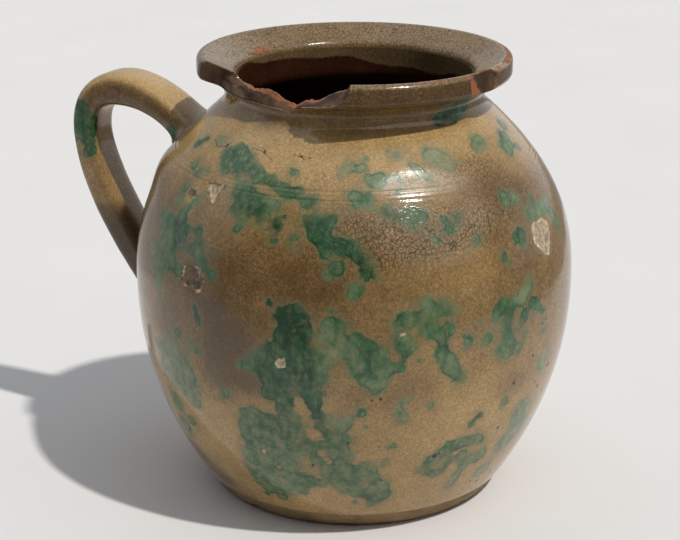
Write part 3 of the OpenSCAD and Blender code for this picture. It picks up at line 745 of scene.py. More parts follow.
# %% Turn the inner glaze
inside_rows = spaced(inside_line, np.where(inside_line[:, 1] > 250, 1.3, 3.2))
inside_skin = turned(inside_rows, 240)
inside_skin = pushed(inside_skin, inside_rows, -.03 - .12 * (1 + np.sin(inside_skin[..., 2] * .5)) *
                     ease(inside_skin[..., 2], 12, 40) * ease(-inside_skin[..., 2], -262, -245))
backing = turned(spaced(under_glaze, 12)[::-1], 240)
inner_glaze = sheet("inside_glaze", np.concatenate([inside_skin, backing]))
weld(inner_glaze)
cut_away(inner_glaze, break_tool)
smooth(inner_glaze)
spots = corners(inner_glaze)
angle = np.arctan2(spots[:, 1], spots[:, 0])
hem = 259 - 5 * np.exp(-((np.degrees(angle) - 68) / 34) ** 2) - 1.5 * np.sin(5 * angle) - np.sin(11 * angle + 1)
hem += 6 * np.exp(-((np.degrees(angle) % 360 - 175) / 30) ** 2)
note(inner_glaze, spill=spots[:, 2] - hem, broken=to_break(spots))

# %% [markdown]
# ## The clay of the belly and its foot
# The coats stop a finger's breadth above the ground. Below them the foot was trimmed with a wire and
# a knife, so it is a plain dirty band of clay, rubbed at its lower edge. Only that band shows, so
# its rows are fine there and coarse under the coats.

# %% Turn the belly's clay
foot_line = body_line(0, BARE_FOOT, 40)
foot_line[:, 0] = inset(foot_line, COAT)[:, 0]
belly_outer = inset(outline[outline[:, 1] < 219], COAT + .03)[1:]
belly_inner = under_glaze[(under_glaze[:, 1] > 9.5) & (under_glaze[:, 1] < 219)][::-1]
belly_outer = belly_outer[:np.argmax(belly_outer[:, 1]) + 1]
foot_rows = spaced(foot_line, .9)
rest = np.concatenate([spaced(belly_outer, 12), spaced(belly_inner, 12), [[80, 9.4], [74, 0]]])
foot_skin = turned(foot_rows, SIDES)
rubbed = -1.1 * ease(-foot_skin[..., 2], -2.2, 0) * (1 + .5 * lumps(foot_skin, 9, 31))
nicks = -1.6 * ease(lumps(foot_skin, 14, 32), .45, .8) * ease(-foot_skin[..., 2], -5, -1)
ridges = .12 * np.sin(foot_skin[..., 2] * 2.6 + lumps(foot_skin, 30, 33))
inwards = rubbed + nicks + ridges + .15 * lumps(foot_skin, 5, 34) - .1
foot_skin[..., :2] *= (1 + inwards / np.hypot(foot_skin[..., 0], foot_skin[..., 1]))[..., None]
belly_clay = sheet("belly_clay", np.concatenate([foot_skin, turned(rest, SIDES)]))
smooth(belly_clay)
spots = corners(belly_clay)
note(belly_clay, rubbed=ease(-spots[:, 2], -3, 0)
     + 1.4 * ease(lumps(spots, 14, 32), .42, .7) * ease(-spots[:, 2], -6, -1))

# %% [markdown]
# ## The handle
# The strap was pulled from a lump of clay, pressed on below the neck and on the belly, and glazed
# with the jar. Its middle line is two cubic curves, as in the CAD model, and goes on a little way
# into the wall at both ends.

# %% The handle's middle line
def bend(p, t):
    """A cubic curve from the first point to the last, drawn towards the two between them: the points
    weigh 1, 3, 3 and 1 times the powers of 1 - t and t."""
    t = t[:, None]
    return (1 - t) ** 3 * p[0] + 3 * (1 - t) ** 2 * t * p[1] + 3 * (1 - t) * t * t * p[2] + t ** 3 * p[3]


ROOT_HEIGHTS, ROOT_ANGLES, BOW = (218, 98), (44, 61), np.array([192, 214])
upper_way, lower_way = (np.array([math.cos(math.radians(a)), math.sin(math.radians(a))]) for a in ROOT_ANGLES)
upper_root, lower_root = (np.array([body_radius(np.array(float(h))), h]) for h in ROOT_HEIGHTS)
reach = BOW[0] - upper_root[0]
upper = np.array([upper_root, upper_root + .73 * reach * upper_way, BOW + (0, .43 * reach), BOW])
lower = np.array([BOW, BOW - (0, 32.48), lower_root + 47.56 * lower_way, lower_root])
t = np.linspace(0, 1, 90)
strap_line = np.concatenate([
    upper_root + np.linspace(-8, -1, 6)[:, None] * upper_way, bend(upper, t), bend(lower, t)[1:],
    lower_root - np.linspace(1, 24, 14)[:, None] * lower_way])
station = np.concatenate([np.linspace(0, .9, 6), 1 + 15 * t, 16 + 15 * t[1:], np.linspace(31.1, 33, 14)]) / 33
middle = np.stack([-strap_line[:, 0], 0 * station, strap_line[:, 1]], -1)[:, None]
ring = np.linspace(0, 2 * math.pi, 80, endpoint=False)
over, under = np.sin(ring) > 0, np.sin(ring) < 0
print("handle's middle line:", len(strap_line), "stations")

# %% [markdown]
# ## The strap
# The section is an oval with soft corners. Near the jar the skin swells into the thumbed joint, by an
# amount that falls with the distance from the wall.

# %% Pull the handle
HALF_WIDE, HALF_THICK, ARCH = 15, 9, 5
SWELL, UNDER_SWELL, SWELL_REACH, SINK = 5.2, 4, 5.5, 4.6


def strap(grow):
    """Rings of the strap, grown by a coat: a superellipse of power 0.55 whose half sizes change
    along the line, swollen near the jar's wall and never deeper in it than its coats and half its clay.
    It is a little thicker under the upper arch and outside its lower half."""
    way = np.gradient(strap_line, axis=0)
    way /= np.linalg.norm(way, axis=1)[:, None]
    half_w = HALF_WIDE + 2.5 * np.abs(2 * station - 1) ** 6 + grow
    half_t = HALF_THICK - 4 * station ** 6 + grow
    soft = lambda x: np.sign(x) * np.abs(x) ** .55
    arch = ARCH * np.exp(-((station - .23) / .15) ** 2)[:, None] * under \
        + (ARCH * np.exp(-((station - .77) / .17) ** 2) * ease(station, .48, .6))[:, None] * over
    thick = (half_t[:, None] + arch) * soft(np.sin(ring))
    flat = strap_line[:, None] + thick[..., None] * np.stack([-way[:, 1], way[:, 0]], -1)[:, None]
    points = np.stack([-flat[..., 0], half_w[:, None] * soft(np.cos(ring)), flat[..., 1]], -1)
    out = points - middle
    off = np.hypot(points[..., 0], points[..., 1]) - body_radius(points[..., 2])
    swell = SWELL + UNDER_SWELL * (np.sin(ring) < -.3) * (station < .4)[:, None]
    swell = swell * np.exp(-np.clip(off, 0, 60) / SWELL_REACH) / np.linalg.norm(out, axis=-1)
    points = points + out * swell[..., None]
    radius = np.hypot(points[..., 0], points[..., 1])
    deepest = body_radius(points[..., 2]) - SINK
    points[..., :2] *= (np.maximum(radius, deepest) / radius)[..., None]
    return points


coat = strap(-.1)
way = (coat - middle) / np.linalg.norm(coat - middle, axis=-1)[..., None]
coat = coat - way * (.15 + .15 * lumps(coat, 16, 41) + .08 * lumps(coat, 6, 42))[..., None]
lining = strap(-.55)[::-3]
handle = sheet("handle_skin", np.concatenate([coat, lining]))
smooth(handle, 50)
print("handle:", len(handle.data.polygons), "faces")

# %% [markdown]
# ## Fields on the handle
# Copper ran down the outside of the handle's bow in one broad patch with a finger below it, and a
# little gathered in the upper joint. A chip at the side shows clay, with a dark outline. These are
# balls in space, and the distance to the nearest ball gives the field. On the side that faces the
# camera, the honey is darkened under the upper arch as painted shade, and darkened and greyed at
# the lower end as the belly's painted shadow.

# %% Mark the handle
def near_spots(points, centres):
    """Distance to the nearest of some balls, each a place and a radius."""
    return np.min([np.linalg.norm(points - np.array(c[:3]), axis=-1) - c[3] for c in centres], axis=0)


spots = corners(handle)
fall = np.hypot(spots[:, 0], spots[:, 1]) - body_radius(spots[:, 2])
handle_copper = near_spots(spots, [
    (-195, -15, 225, 10), (-193, -15, 219, 12), (-199, -12, 215, 10), (-188, -15, 207, 5),
    (-187, -15, 200, 4.5), (-200, 6, 224, 12), (-122, -17, 217, 6), (-118, -17, 210, 5),
    (-124, 14, 214, 7), (-140, 2, 118, 9), (-172, 14, 150, 8)])
handle_chip = near_spots(spots, [
    (-172, -16, 237, 1.6), (-168, -15.5, 239.6, 3.4), (-164, -16, 241.2, 2.8), (-160, -15.5, 243.5, 1.6)])
inner_half = np.concatenate([np.tile(np.sin(ring), len(coat)), np.ones(lining.size // 3)])
height, facing = spots[:, 2], ease(-spots[:, 1], 0, 9)
joint, even = np.exp(-(fall / 14) ** 2), np.ones(len(spots))
# Painted shade: the camera's side of the strap is darkened under the upper arch.
painted_shade_under_arch = ease(-inner_half, -.42, .1) * facing * ease(height, 205, 232)
# Painted shadow of the belly: on the camera's side, the lower end gets extra smoke and a lower tone.
note(handle, copper=np.clip(handle_copper, -9, 14), strength=.85 * even, flake=12 * even, dirt=.9 * even,
     smoke=.35 * joint * ease(height, 180, 215) + .9 * ease(-height, -170, -158) * facing,
     tone=.85 - .26 * ease(-height, -225, -195) + .08 * ease(height, 235, 255) - .62 * painted_shade_under_arch
     - .5 * ease(-height, -168, -145) * facing - .3 * np.exp(-(fall / 11) ** 2) * ease(height, 190, 205),
     wear=.62 * ease(-handle_chip, -2, 1.2), scratch=2 * np.exp(-((handle_chip - .2) / .9) ** 2),
     broken=15 * even, craze=.08 * even, dusty=0 * even, dull=.4 * joint)

# %% [markdown]
# ## Shader maths in plain Python
# A material is a sum of simple patterns. Written as nodes it is hard to read, so a small class wraps
# an output socket, and adding or multiplying two of them adds the Math node. Every other node comes
# from one method, which takes its type, its settings and its sockets.

# %% A value in a material
class Shade:
    """One output socket of a material's node tree."""

    def __init__(self, tree, socket=None):
        self.tree, self.socket = tree, socket

    def node(self, kind, settings=None, sockets=None, out=0):
        """Adds a node: settings first, then a value or a link for each named socket."""
        made = self.tree.nodes.new("ShaderNode" + kind)
        for name, value in (settings or {}).items():
            if name == "stops":
                ramp = made.color_ramp
                ramp.elements[0].position, ramp.elements[1].position = value[0][0], value[-1][0]
                for place, _ in value[1:-1]:
                    ramp.elements.new(place)
                for stop, (_, colour) in zip(ramp.elements, value):
                    stop.color = (*colour, 1)
            else:
                setattr(made, name, value)
        for name, value in (sockets or {}).items():
            if isinstance(value, Shade):
                self.tree.links.new(value.socket, made.inputs[name])
            elif isinstance(value, tuple) and made.inputs[name].type == "RGBA":
                made.inputs[name].default_value = (*value, 1)
            else:
                made.inputs[name].default_value = value
        return Shade(self.tree, made.outputs[out])

    def math(self, operation, first, second):
        """A Math node on two values."""
        return self.node("Math", {"operation": operation}, {0: first, 1: second})

    def __add__(self, other):
        return self.math("ADD", self, other)

    def __sub__(self, other):
        return self.math("SUBTRACT", self, other)

    def __rsub__(self, other):
        return self.math("SUBTRACT", other, self)

    def __mul__(self, other):
        return self.math("MULTIPLY", self, other)

    __radd__, __rmul__ = __add__, __mul__

    def sway(self, amount):
        """A noise from 0 to 1 made to swing evenly about 0, times an amount."""
        return (self - .5) * amount

    def rise(self, low, high):
        """A smooth step from 0 at low to 1 at high."""
        return self.node("MapRange", {"interpolation_type": "SMOOTHSTEP"},
                         {"Value": self, "From Min": low, "From Max": high})

    def mix(self, under, over):
        """A colour that goes from under to over as this value goes from 0 to 1."""
        return self.node("Mix", {"data_type": "RGBA"}, {0: self, 6: under, 7: over}, 2)

    def ramp(self, *stops):
        """The colour at this value between stops, each a value and a colour."""
        return self.node("ValToRGB", {"stops": stops}, {"Fac": self})

    def vector(self, operation, other, out=0):
        """Vector maths, with this place first."""
        return self.node("VectorMath", {"operation": operation}, {0: self, 1: other}, out)

    def along(self, way):
        """How far this place lies along a direction: the dot product."""
        return self.vector("DOT_PRODUCT", way, "Value")

    def cells(self, feature, scale, out=0, **more):
        """Random cells round this place, so many to the metre."""
        return self.node("TexVoronoi", {"feature": feature}, {"Vector": self, "Scale": scale, **more}, out)

    def bump(self, strength, distance):
        """The surface's direction, tilted by this value as a height."""
        return self.node("Bump", {}, {"Strength": strength, "Distance": distance, "Height": self}, "Normal")


# %% [markdown]
# ## Patterns
# Every material starts from a place on the object, reads fields from the mesh, and adds noise. These
# helpers make the patterns that come up again and again.

# %% Noise, fields and cracks
def new_finish(name):
    """A material, its surface shader and a Shade to add nodes with."""
    finish = bpy.data.materials.new(name)
    finish.use_nodes = True
    return finish, finish.node_tree.nodes["Principled BSDF"], Shade(finish.node_tree)


def lay_on(surface, paint, **sockets):
    """Links or sets the surface shader's sockets, named with _ for a space."""
    for name, value in sockets.items():
        into = surface.inputs[name.replace("_", " ")]
        if isinstance(value, Shade):
            paint.tree.links.new(value.socket, into)
        else:
            into.default_value = value


def object_place(paint):
    """Each point's own place on the object, in metres."""
    return paint.node("TexCoord", out="Object")


def field(paint, name):
    """A field that was written into the mesh."""
    return paint.node("Attribute", {"attribute_name": name}, out="Fac")


def grain(place, scale, detail=3, rough=.55):
    """Noise from 0 to 1 with a number of lumps to the metre."""
    return place.node("TexNoise", {}, {"Vector": place, "Scale": scale, "Detail": detail, "Roughness": rough})


def shaken(place, scale, amount):
    """A place moved about by coloured noise, so that patterns lose their regularity."""
    noise = place.node("TexNoise", {}, {"Vector": place, "Scale": scale, "Detail": 2}, "Color")
    centred = noise.vector("SUBTRACT", (.5, .5, .5))
    scaled = place.node("VectorMath", {"operation": "SCALE"}, {0: centred, "Scale": amount})
    return place.vector("ADD", scaled)


def cracks(place, scale, width):
    """Crazing: 1 on the walls between random cells, 0 inside them."""
    return 1 - place.cells("DISTANCE_TO_EDGE", scale).rise(width * .3, width)


# %% [markdown]
# ## Marks drawn in the material
# Some marks are finer than the mesh: hair cracks that spread like stars, and pinholes where a bubble
# burst. Their places are worked out on the jar's side, and the material measures the distance to a
# short straight line or to a point, so they stay sharp at any size.

# %% Cracks and pinholes
hair_cracks = [
    ((255, 237.4), (258.5, 237.2)), ((258.5, 237.2), (261.2, 236.6)), ((261.2, 236.6), (265, 233.8)),
    ((260.2, 238.2), (261.8, 235.2)),
    ((272.3, 237.2), (275.5, 236.8)), ((275.5, 236.8), (279, 236.5)), ((274.4, 238), (276.6, 235.6)),
    ((234.5, 236.2), (238.5, 233.6)), ((238.5, 233.6), (243, 235)), ((243, 235), (244.6, 237.8))]
pinholes = [
    (261, 236.7, 1.1), (275.6, 236.8, .9), (243.2, 235.7, 1.2), (317, 58, 2.2), (318.2, 59.5, 1), (300.5, 103.5, 1.1),
    (298.4, 103, .7), (339.4, 97.5, 1.5), (350, 90, 1.5), (356.5, 97, 2), (337.6, 67, 1.3), (292.5, 73, 1),
    (346, 111, 1.2), (282.6, 54.5, 1), (352.6, 85, 1.3), (340, 23, 1.4), (346.5, 26, 1.2), (336, 26, 1),
    (358, 78, 1.6), (349, 130, 1), (40, 120, 1.2), (92, 90, 1.4), (150, 140, 1.1)]


def on_side(bearing, height):
    """The place in metres of a bearing and a height on the jar's side."""
    radius, angle = float(body_radius(np.array(float(height)))) - .35, math.radians(bearing)
    return Vector((radius * math.cos(angle), radius * math.sin(angle), height)) * MM


def to_stroke(place, start, end):
    """Millimetres to the straight line between two places: the nearest point lies at the share of
    the way that the dot product gives, held between 0 and 1."""
    way = end - start
    off = place.vector("SUBTRACT", tuple(start))
    share = off.along(tuple(way / way.length_squared))
    share = share.node("Clamp", {}, {"Value": share})
    near = place.node("VectorMath", {"operation": "SCALE"}, {0: tuple(way), "Scale": share})
    return off.vector("DISTANCE", near, "Value") * 1000


def to_spot(place, spot):
    """Millimetres to a spot."""
    return place.vector("DISTANCE", tuple(spot), "Value") * 1000


def nearest(distances):
    """The least of several values."""
    least = distances[0]
    for other in distances[1:]:
        least = least.math("MINIMUM", least, other)
    return least


print("hair cracks:", len(hair_cracks), "pinholes:", len(pinholes))

# %% [markdown]
# ## What the layers share
# The honey glaze is put on in layers, from the slip up. All layers use the fields on the mesh and a
# few noises, from broad clouds to single grains, so one function makes these and names them.

# %% Fields and noises
def shared(paint):
    """The fields and noises that the layers of the honey glaze use, by name."""
    place = object_place(paint)
    down = paint.node("Mapping", {}, {"Vector": place, "Scale": (1, 1, .3)})
    fields = "copper strength flake dirt scratch smoke tone wear broken craze dusty dull"
    return SimpleNamespace(
        place=place, web=shaken(place, 260, .0014), lines=shaken(place, 420, .0012),
        broad=grain(place, 16, 4), middle=grain(place, 75, 5, .6), patchy=grain(place, 150, 4, .65),
        small=grain(place, 330, 3), fine=grain(place, 520, 3), sand=grain(place, 1000, 2),
        streaks=grain(down, 260, 4, .6), **{name: field(paint, name) for name in fields.split()})


# %% [markdown]
# ## Honey
# Lead glaze over white slip is clear and warm, like thin honey. Its colour changes slowly with its
# thickness and with the fire; its tone also holds painted shade under the lip and painted light on
# part of the rim's top. Some stretches went dull or grey, and smoke darkened others; some of these
# dark clouds are painted shade. The glaze shrank more than the clay did, so it is crazed, and dirt
# has gone into the cracks.

# %% Honey layer
HONEY = ((0, (.080, .042, .014)), (.3, (.160, .092, .033)), (.6, (.320, .203, .083)), (1, (.560, .370, .155)))
DULL, DUST, OCHRE, SPECK = (.400, .340, .260), (.430, .350, .245), (.300, .175, .062), (.070, .045, .022)
SOOT_AND_SHADE, CRACK_DIRT = (.080, .052, .029), (.055, .029, .011)


def honey_layer(g):
    """The honey's colour, how crazed it is, and its roughness."""
    tone = g.tone + g.broad.sway(.5) + g.middle.sway(.45) + g.small.sway(.25) + g.fine.sway(.5) \
        + g.sand.sway(.5) + g.craze * .1 + .03
    bloom = (g.dull * (g.patchy * .9 + .35)).rise(.15, .9)
    grey = (g.dusty * (g.middle * .9 + .3)).rise(.12, .8)
    ochre = g.dusty.rise(.2, .6) * (grain(g.place, 60, 5, .7) + g.fine.sway(.4)).rise(.5, .62)
    speckle = (g.small * .5 + g.fine * .5).rise(.5, .6) * g.dusty.rise(.1, .5)
    # Smoke clouds darken the honey, and some of them are painted shade.
    smoky_and_shaded = (g.smoke * (g.middle * 1.6 + g.streaks * 1.2 + g.fine * .6 - .85)).rise(.05, 1)
    patches = g.patchy * .7 + .3
    crackle = cracks(g.web, 390, .13) * (g.craze.rise(.2, 1) * .6 + .45) * patches \
        + cracks(g.web, 520, .2) * (g.craze.rise(.05, 1) * .3 + .2) * patches
    hairs = cracks(g.web, 900, .16) * (g.craze.rise(0, .9) * .2 + .1)
    craze = (crackle + hairs).rise(0, 1.3)
    honey = tone.ramp(*HONEY)
    for amount, stain in ((bloom * .5, DULL), (grey * .5, DUST), (ochre * .6, OCHRE),
                          (speckle * .5, SPECK), (smoky_and_shaded * .68, SOOT_AND_SHADE), (craze, CRACK_DIRT)):
        honey = amount.mix(honey, stain)
    return honey, craze, .075 + g.middle.sway(.08) + craze * .12 + smoky_and_shaded * .12 + grey * .18 + bloom * .36


# %% [markdown]
# ## Copper
# Copper stains the honey green, dark where it lies thick, pale and ragged where it thins out. Noise
# frays the edges of the runs, and stray beads lie round them. Some stretches end sharply, and others
# fade into the honey with a pale wash.

# %% Copper layer
COPPER = ((0, (.270, .275, .150)), (.3, (.150, .212, .108)), (.6, (.055, .138, .064)), (1, (.014, .055, .025)))
GREEN_DIRT, GREEN_WASH = (.012, .022, .010), (.150, .172, .088)


def copper_layer(g, honey, craze):
    """Green laid over the honey, and where it lies."""
    drops = shaken(g.place, 200, .003).cells("SMOOTH_F1", 125, Smoothness=.3) - .42
    beads, chance = g.web.cells("F1", 95), g.web.cells("F1", 95, "Color")
    bead = beads * 10.5 - chance * 4.2 + g.fine.sway(1) + 1.4 + g.copper.rise(2, 12) * 5
    copper = g.copper.math("MINIMUM", g.copper, bead)
    ragged = copper - 1.2 + drops * 5 + g.patchy.sway(4) + g.fine.sway(1.6) + g.streaks.sway(1.6)
    loose = grain(g.place, 55, 3).rise(.4, .62)
    crisp, soft = 1 - ragged.rise(-1.2, .4), 1 - (ragged + g.middle.sway(5)).rise(-4.5, 2.2)
    green = crisp + loose * (soft - crisp)
    edge = ragged.rise(-2.6, -1) * crisp
    depth = g.strength + g.middle.sway(.8) + g.streaks.sway(.6) + g.small.sway(.5) + drops * .5 \
        + edge * (1 - loose) * (1.2 - g.strength) * .35 - .1
    stain = (craze * .7).mix(depth.ramp(*COPPER), GREEN_DIRT)
    thin = ((g.streaks * .45 + g.small * .55).rise(.32, .6) * .55 + .4 + g.strength * .12 + edge * .2).rise(0, 1)
    wash = (1 - (copper - .6 + g.middle.sway(8) + drops * 4).rise(-.5, 4.5)) * (g.small * .5 + .2)
    return (green * thin).mix(wash.mix(honey, GREEN_WASH), stain), green


# %% [markdown]
# ## Flakes
# Where a flake came off, the white slip shows, dirty and yellowed, and in the worst places the brown
# clay. The glaze that stayed ends in a dark brink.

# %% Flake layer
SLIP, OLD_SLIP = ((.72, .60, .41), (.46, .35, .21)), ((.085, .055, .034), (.50, .42, .30))
BARE_CLAY, SLIP_DIRT, BRINK = ((.100, .060, .033), (.23, .150, .082)), (.060, .040, .027), (.050, .032, .018)


def flake_layer(g, colour):
    """Slip and clay in the flakes, and where the glaze is gone."""
    torn_edge = g.flake + g.fine.sway(2.4) + g.patchy.sway(4) + g.sand.sway(.8)
    bare = 1 - torn_edge.rise(-.3, .25)
    core = 1 - (torn_edge + grain(g.place, 140, 3).sway(7)).rise(-2, -.6)
    slip = g.small.rise(.35, .65).mix(*SLIP)
    old_slip = (g.streaks * .5 + g.fine * .5).rise(.43, .56).mix(*OLD_SLIP)
    slip = (core * (g.dirt * .5 + .4)).mix(slip, old_slip)
    slip = (g.dirt * core * grain(g.place, 230, 4).rise(.3, .6)).mix(slip, SLIP_DIRT)
    slip = (g.dirt * g.patchy.rise(.36, .56) * .85).mix(slip, g.small.mix(*BARE_CLAY))
    brink = torn_edge.rise(-.7, -.1) * (1 - torn_edge.rise(.1, .8)) * g.patchy.rise(.4, .6)
    return (brink * .7).mix(bare.mix(colour, slip), BRINK), bare


# %% [markdown]
# ## Marks and wear
# Hair cracks, pinholes, pores and scratched lines are dark with dirt. Along the lip and the break, the
# glaze has worn off and the red clay shows.

# %% Mark and wear layers
HOLE, LINE, RED_CLAY = (.030, .016, .009), (.085, .052, .022), ((.36, .135, .058), (.15, .066, .036))


def mark_layer(g, colour):
    """Cracks, holes and scratched lines, and where the pits are."""
    strokes = [to_stroke(g.lines, on_side(*a), on_side(*b)) for a, b in hair_cracks]
    holes = [to_spot(g.lines, on_side(b, h)) - size * .75 for b, h, size in pinholes]
    hair, hole = 1 - nearest(strokes).rise(.1, .5), 1 - nearest(holes).rise(-.2, .6)
    pore = (1 - (g.place.cells("F1", 95) + g.middle.sway(.06)).rise(.02, .05)) * grain(g.place, 20, 2).rise(.45, .6)
    pit = (hole + hair * .85 + pore * .7).rise(0, 1)
    line = (g.scratch * (g.middle * .8 + .25) * .5).rise(.03, .8)
    return line.mix((pit * .9).mix(colour, HOLE), LINE), pit


def wear_layer(g, colour):
    """Red clay at the rubbed lip and the break, and where it shows."""
    rubbed = (g.wear + grain(g.place, 170, 4).sway(1.1) + g.fine.sway(.8)).rise(.5, .68)
    fringe = 1 - (g.broken + grain(g.place, 260, 3).sway(2.6)).rise(.05, .6)
    raw = (rubbed + fringe * grain(g.place, 90, 2).rise(.45, .6)).rise(.2, .8)
    clay = (g.fine * .6 + g.streaks * .4).rise(.35, .62).mix(*RED_CLAY)
    return (raw * .92).mix(colour, clay), raw


# %% [markdown]
# ## Honey glaze with copper
# The layers lie on each other in the order in which they came. Where each one lies also decides how
# smooth the surface is and how it stands up or dips.

# %% Honey glaze
def honey_glaze():
    """All layers, with roughness and relief."""
    finish, surface, paint = new_finish("honey_glaze_finish")
    g = shared(paint)
    colour, craze, gloss = honey_layer(g)
    colour, green = copper_layer(g, colour, craze)
    colour, bare = flake_layer(g, colour)
    colour, pit = mark_layer(g, colour)
    colour, raw = wear_layer(g, colour)
    bare = raw + bare
    relief = craze * -.15 + green * .12 + bare * -1.2 + g.middle * .3 + g.fine * bare * 1.4 - pit * .9 \
        + (g.fine * .25 + g.small * .5 + g.patchy * .6) * (g.craze * .7 + g.dull * 1.3).rise(.1, 1.2)
    lay_on(surface, paint, Base_Color=colour, Roughness=gloss + bare * .6, Normal=relief.bump(.5, .0004), IOR=1.5)
    return finish


honey = honey_glaze()
print("honey glaze uses", len(honey.node_tree.nodes), "nodes")

# %% [markdown]
# ## Brown glaze inside
# The inside was poured with iron glaze, dark as treacle, and redder in patches of noise. Honey glaze
# spilled over the edge and ends in a wavy hem.

# %% Brown glaze
def brown_glaze():
    """Dark glaze, the honey that spilled over it, and clay at the break."""
    finish, surface, paint = new_finish("brown_glaze_finish")
    place = object_place(paint)
    middle, fine = grain(place, 60, 4), grain(place, 420, 3)
    tone = middle * .7 + fine * .3
    brown = tone.ramp((.2, (.018, .006, .003)), (.55, (.05, .016, .007)), (.85, (.105, .036, .014)))
    spill = (field(paint, "spill") + middle.sway(3) + fine.sway(1.5)).rise(-.8, .9)
    honey = middle.mix((.125, .075, .030), (.24, .16, .078))
    craze = cracks(shaken(place, 260, .0022), 290, .085)
    honey = (craze * .5).mix(honey, (.05, .03, .013))
    colour = spill.mix(brown, honey)
    raw = 1 - (field(paint, "broken") + grain(place, 260, 3).sway(3)).rise(.3, 1.2)
    colour = raw.mix(colour, (.30, .115, .055))
    lay_on(surface, paint, Base_Color=colour, Roughness=.2 + fine * .12 + raw * .5,
           Normal=(middle + spill * .8).bump(.4, .0004), IOR=1.5)
    return finish


brown = brown_glaze()
print("brown glaze uses", len(brown.node_tree.nodes), "nodes")

# %% [markdown]
# ## Clay, torn and trimmed
# One clay, three states. Inside the wall it is plain brown-red. On the break it is dark with years
# of dirt, and orange only along the fresh edges. On the foot it is stained with glaze and dust,
# and rubbed red at the edge that meets the shelf.

# %% Clay
def clay_finish(name, state):
    """Rough clay, coloured for its state: torn, foot or plain."""
    finish, surface, paint = new_finish(name)
    place = object_place(paint)
    middle, fine, sand = grain(place, 90, 5, .6), grain(place, 480, 4, .65), grain(place, 1500, 2)
    if state == "torn":
        dirty = middle * .35 + fine * .35 + (field(paint, "hollow") * -.12 + .15)
        colour = dirty.ramp((.25, (.022, .012, .007)), (.5, (.066, .036, .021)), (.78, (.160, .088, .052)))
        old = (field(paint, "spall") + grain(place, 130, 3).sway(.8)).rise(.2, .6)
        dust = (middle * .5 + fine * .5).rise(.3, .7).mix((.095, .064, .040), (.22, .160, .100))
        colour = old.mix(colour, dust)
        bright = (field(paint, "fresh") + grain(place, 210, 3).sway(.9)).rise(.55, .9)
        colour = bright.mix(colour, fine.mix((.36, .125, .055), (.22, .080, .042)))
    elif state == "foot":
        stained = middle * .7 + fine * .3
        colour = stained.ramp((.2, (.105, .066, .034)), (.5, (.280, .185, .095)), (.8, (.430, .300, .165)))
        worn = (field(paint, "rubbed") + grain(place, 160, 4).sway(1.2)).rise(.75, 1.15)
        colour = worn.mix(colour, (.30, .110, .052))
        colour = (grain(place, 45, 4).rise(.5, .7) * .6).mix(colour, (.075, .058, .040))
    else:
        colour = (middle * .6 + fine * .4).mix((.14, .070, .042), (.26, .135, .085))
    relief = middle + fine * .6 + sand * .25
    lay_on(surface, paint, Base_Color=colour, Roughness=.72 + fine.sway(.3),
           Normal=relief.bump(.7, .0006), Specular_IOR_Level=.2)
    return finish


plain_clay = clay_finish("clay_finish", "plain")
torn_clay = clay_finish("torn_clay_finish", "torn")
foot_clay = clay_finish("foot_clay_finish", "foot")
print("clay finishes:", plain_clay.name, torn_clay.name, foot_clay.name)

# %% [markdown]
# ## Dress the frame
# Each new piece gets its material and rides on the root body, and the CAD nodes that it stands for
# are hidden. CAD nodes whose shape is right stay, and only get a better material.

# %% Put everything together
def dress(piece, finish, slot, *stands_for):
    """Gives a piece its material, puts it on the root body and hides the CAD nodes that it stands for."""
    piece.data.materials.clear()
    piece.data.materials.append(finish)
    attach(piece, "root")
    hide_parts(*stands_for)


for tool in (break_tool, chip_tool):
    bpy.data.objects.remove(tool)
dress(glazed_body, honey, "honey_glaze", "outer_glaze", "slip_coat", "copper_splashes")
dress(handle, honey, "honey_glaze", "handle_glaze", "upper_lute", "lower_lute")
dress(rim_clay, torn_clay, "clay", "rim_flange")
dress(inner_glaze, brown, "brown_glaze", "inner_glaze")
dress(belly_clay, foot_clay, "clay", "belly_wall")
for name in ("floor_disc", "shoulder_wall", "handle_strap"):
    for slot in nodes[name].material_slots:
        slot.material = plain_clay
print("dressed, with CAD clay left as it is: floor_disc, shoulder_wall, handle_strap")

# %% [markdown]
# ## Floor
# The jar stands on a pale, even floor. Shiny glaze shows its surroundings, so in mirrored rays only,
# the floor is darker in front, at the right and behind at the left, as the dim sides of a room are.
# Without them, the honey would look washed with milk.

# %% Floor
FLOOR_HALF, FLOOR_Z = 6, -.0002
floor_corners = [(x * FLOOR_HALF, y * FLOOR_HALF, FLOOR_Z) for x, y in ((-1, -1), (1, -1), (1, 1), (-1, 1))]
floor_mesh = bpy.data.meshes.new("floor")
floor_mesh.from_pydata(floor_corners, [], [[0, 1, 2, 3]])
floor = bpy.data.objects.new("floor", floor_mesh)
bpy.context.scene.collection.objects.link(floor)
pale, surface, paint = new_finish("pale_floor_finish")
ground = object_place(paint)
ahead = ground.along((.41, -.91, 0)).rise(.22, .5)
aside = ground.along((.91, .41, 0)).rise(.46, .6)
behind = ground.along((-.8, .6, 0)).rise(.35, .6)
dim = (ahead + aside + behind * .5).rise(0, 1) * paint.node("LightPath", out="Is Glossy Ray") * .8
even_pale = grain(ground, 6, 3).mix((.76, .755, .76), (.82, .815, .815))
lay_on(surface, paint, Base_Color=dim.mix(even_pale, (.10, .095, .09)), Roughness=.95)
floor_mesh.materials.append(pale)
print("floor:", 2 * FLOOR_HALF, "m wide")

# %% [markdown]
# ## Sun
# One small warm lamp stands far off at the right, high up. Its height was found from the shadow that
# the lip throws on the shoulder.

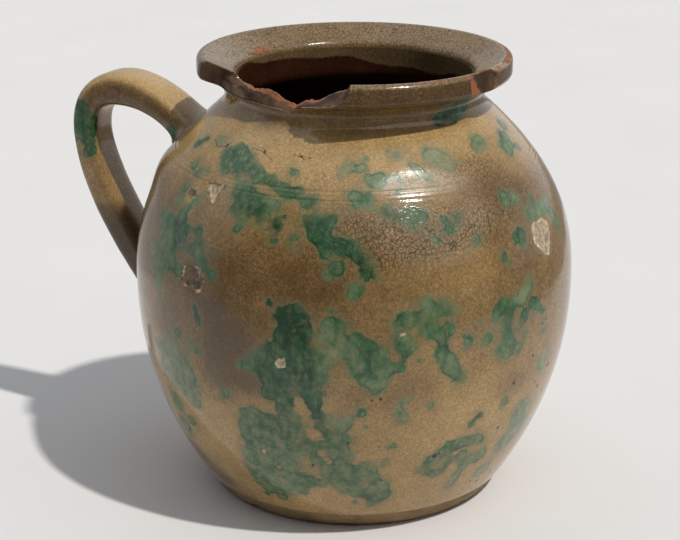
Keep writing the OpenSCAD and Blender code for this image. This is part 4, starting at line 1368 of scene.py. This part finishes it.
# %% Sun
SUN_BEARING, SUN_HEIGHT, SUN_WIDE = math.radians(345.5), math.radians(57.5), math.radians(2)
sun_data = bpy.data.lights.new("sun", "SUN")
sun_data.energy, sun_data.angle, sun_data.color = 2.25, SUN_WIDE, (1, .97, .92)
sun_from = Vector((math.cos(SUN_HEIGHT) * math.cos(SUN_BEARING),
                   math.cos(SUN_HEIGHT) * math.sin(SUN_BEARING), math.sin(SUN_HEIGHT)))
sun = bpy.data.objects.new("sun", sun_data)
sun.rotation_euler = sun_from.to_track_quat("Z", "Y").to_euler()
sun.location = sun_from * 3
bpy.context.scene.collection.objects.link(sun)
print("sun from bearing", round(math.degrees(SUN_BEARING)), "at", round(math.degrees(SUN_HEIGHT)), "degrees")

# %% [markdown]
# ## World
# An even pale world fills the shadows, and is dim in front, as a room is behind a camera. In what the
# glaze mirrors, it is dimmer at one side and behind at the left too, and has one bright window.

# %% World
world = bpy.data.worlds.new("studio")
world.use_nodes = True
bpy.context.scene.world = world
sky = Shade(world.node_tree)
seen, mirrored, through = (
    sky.node("LightPath", out=f"Is {kind} Ray") for kind in ("Camera", "Glossy", "Transmission"))
way = sky.node("TexCoord", out="Generated")
front = way.along((.5, -.866, 0)).rise(-.15, .35)
above = way.along((.3, 0, 1)).rise(.58, .86)
side = way.along((.44, .48, .76)).rise(.65, .95)
left = way.along((-.86, .5, .1)).rise(.6, .95)
window = way.along((.69, -.15, .71)).rise(.82, .89)
fill = 1 - front * (1 - above) * .88
room = fill * (1 - side * .4) * (1 - left * .5)
background = world.node_tree.nodes["Background"]
background.inputs["Color"].default_value = (.93, .96, 1, 1)
FILL, SEEN, ROOM, WINDOW = .5, .8, .85, 1.15
strength = fill * FILL + (seen + through) * (SEEN - fill * FILL) \
    + mirrored * (room * ROOM - fill * FILL + window * (WINDOW - room * ROOM))
world.node_tree.links.new(strength.socket, background.inputs["Strength"])
bpy.context.scene.view_settings.view_transform = "Standard"
print("world uses", len(world.node_tree.nodes), "nodes")
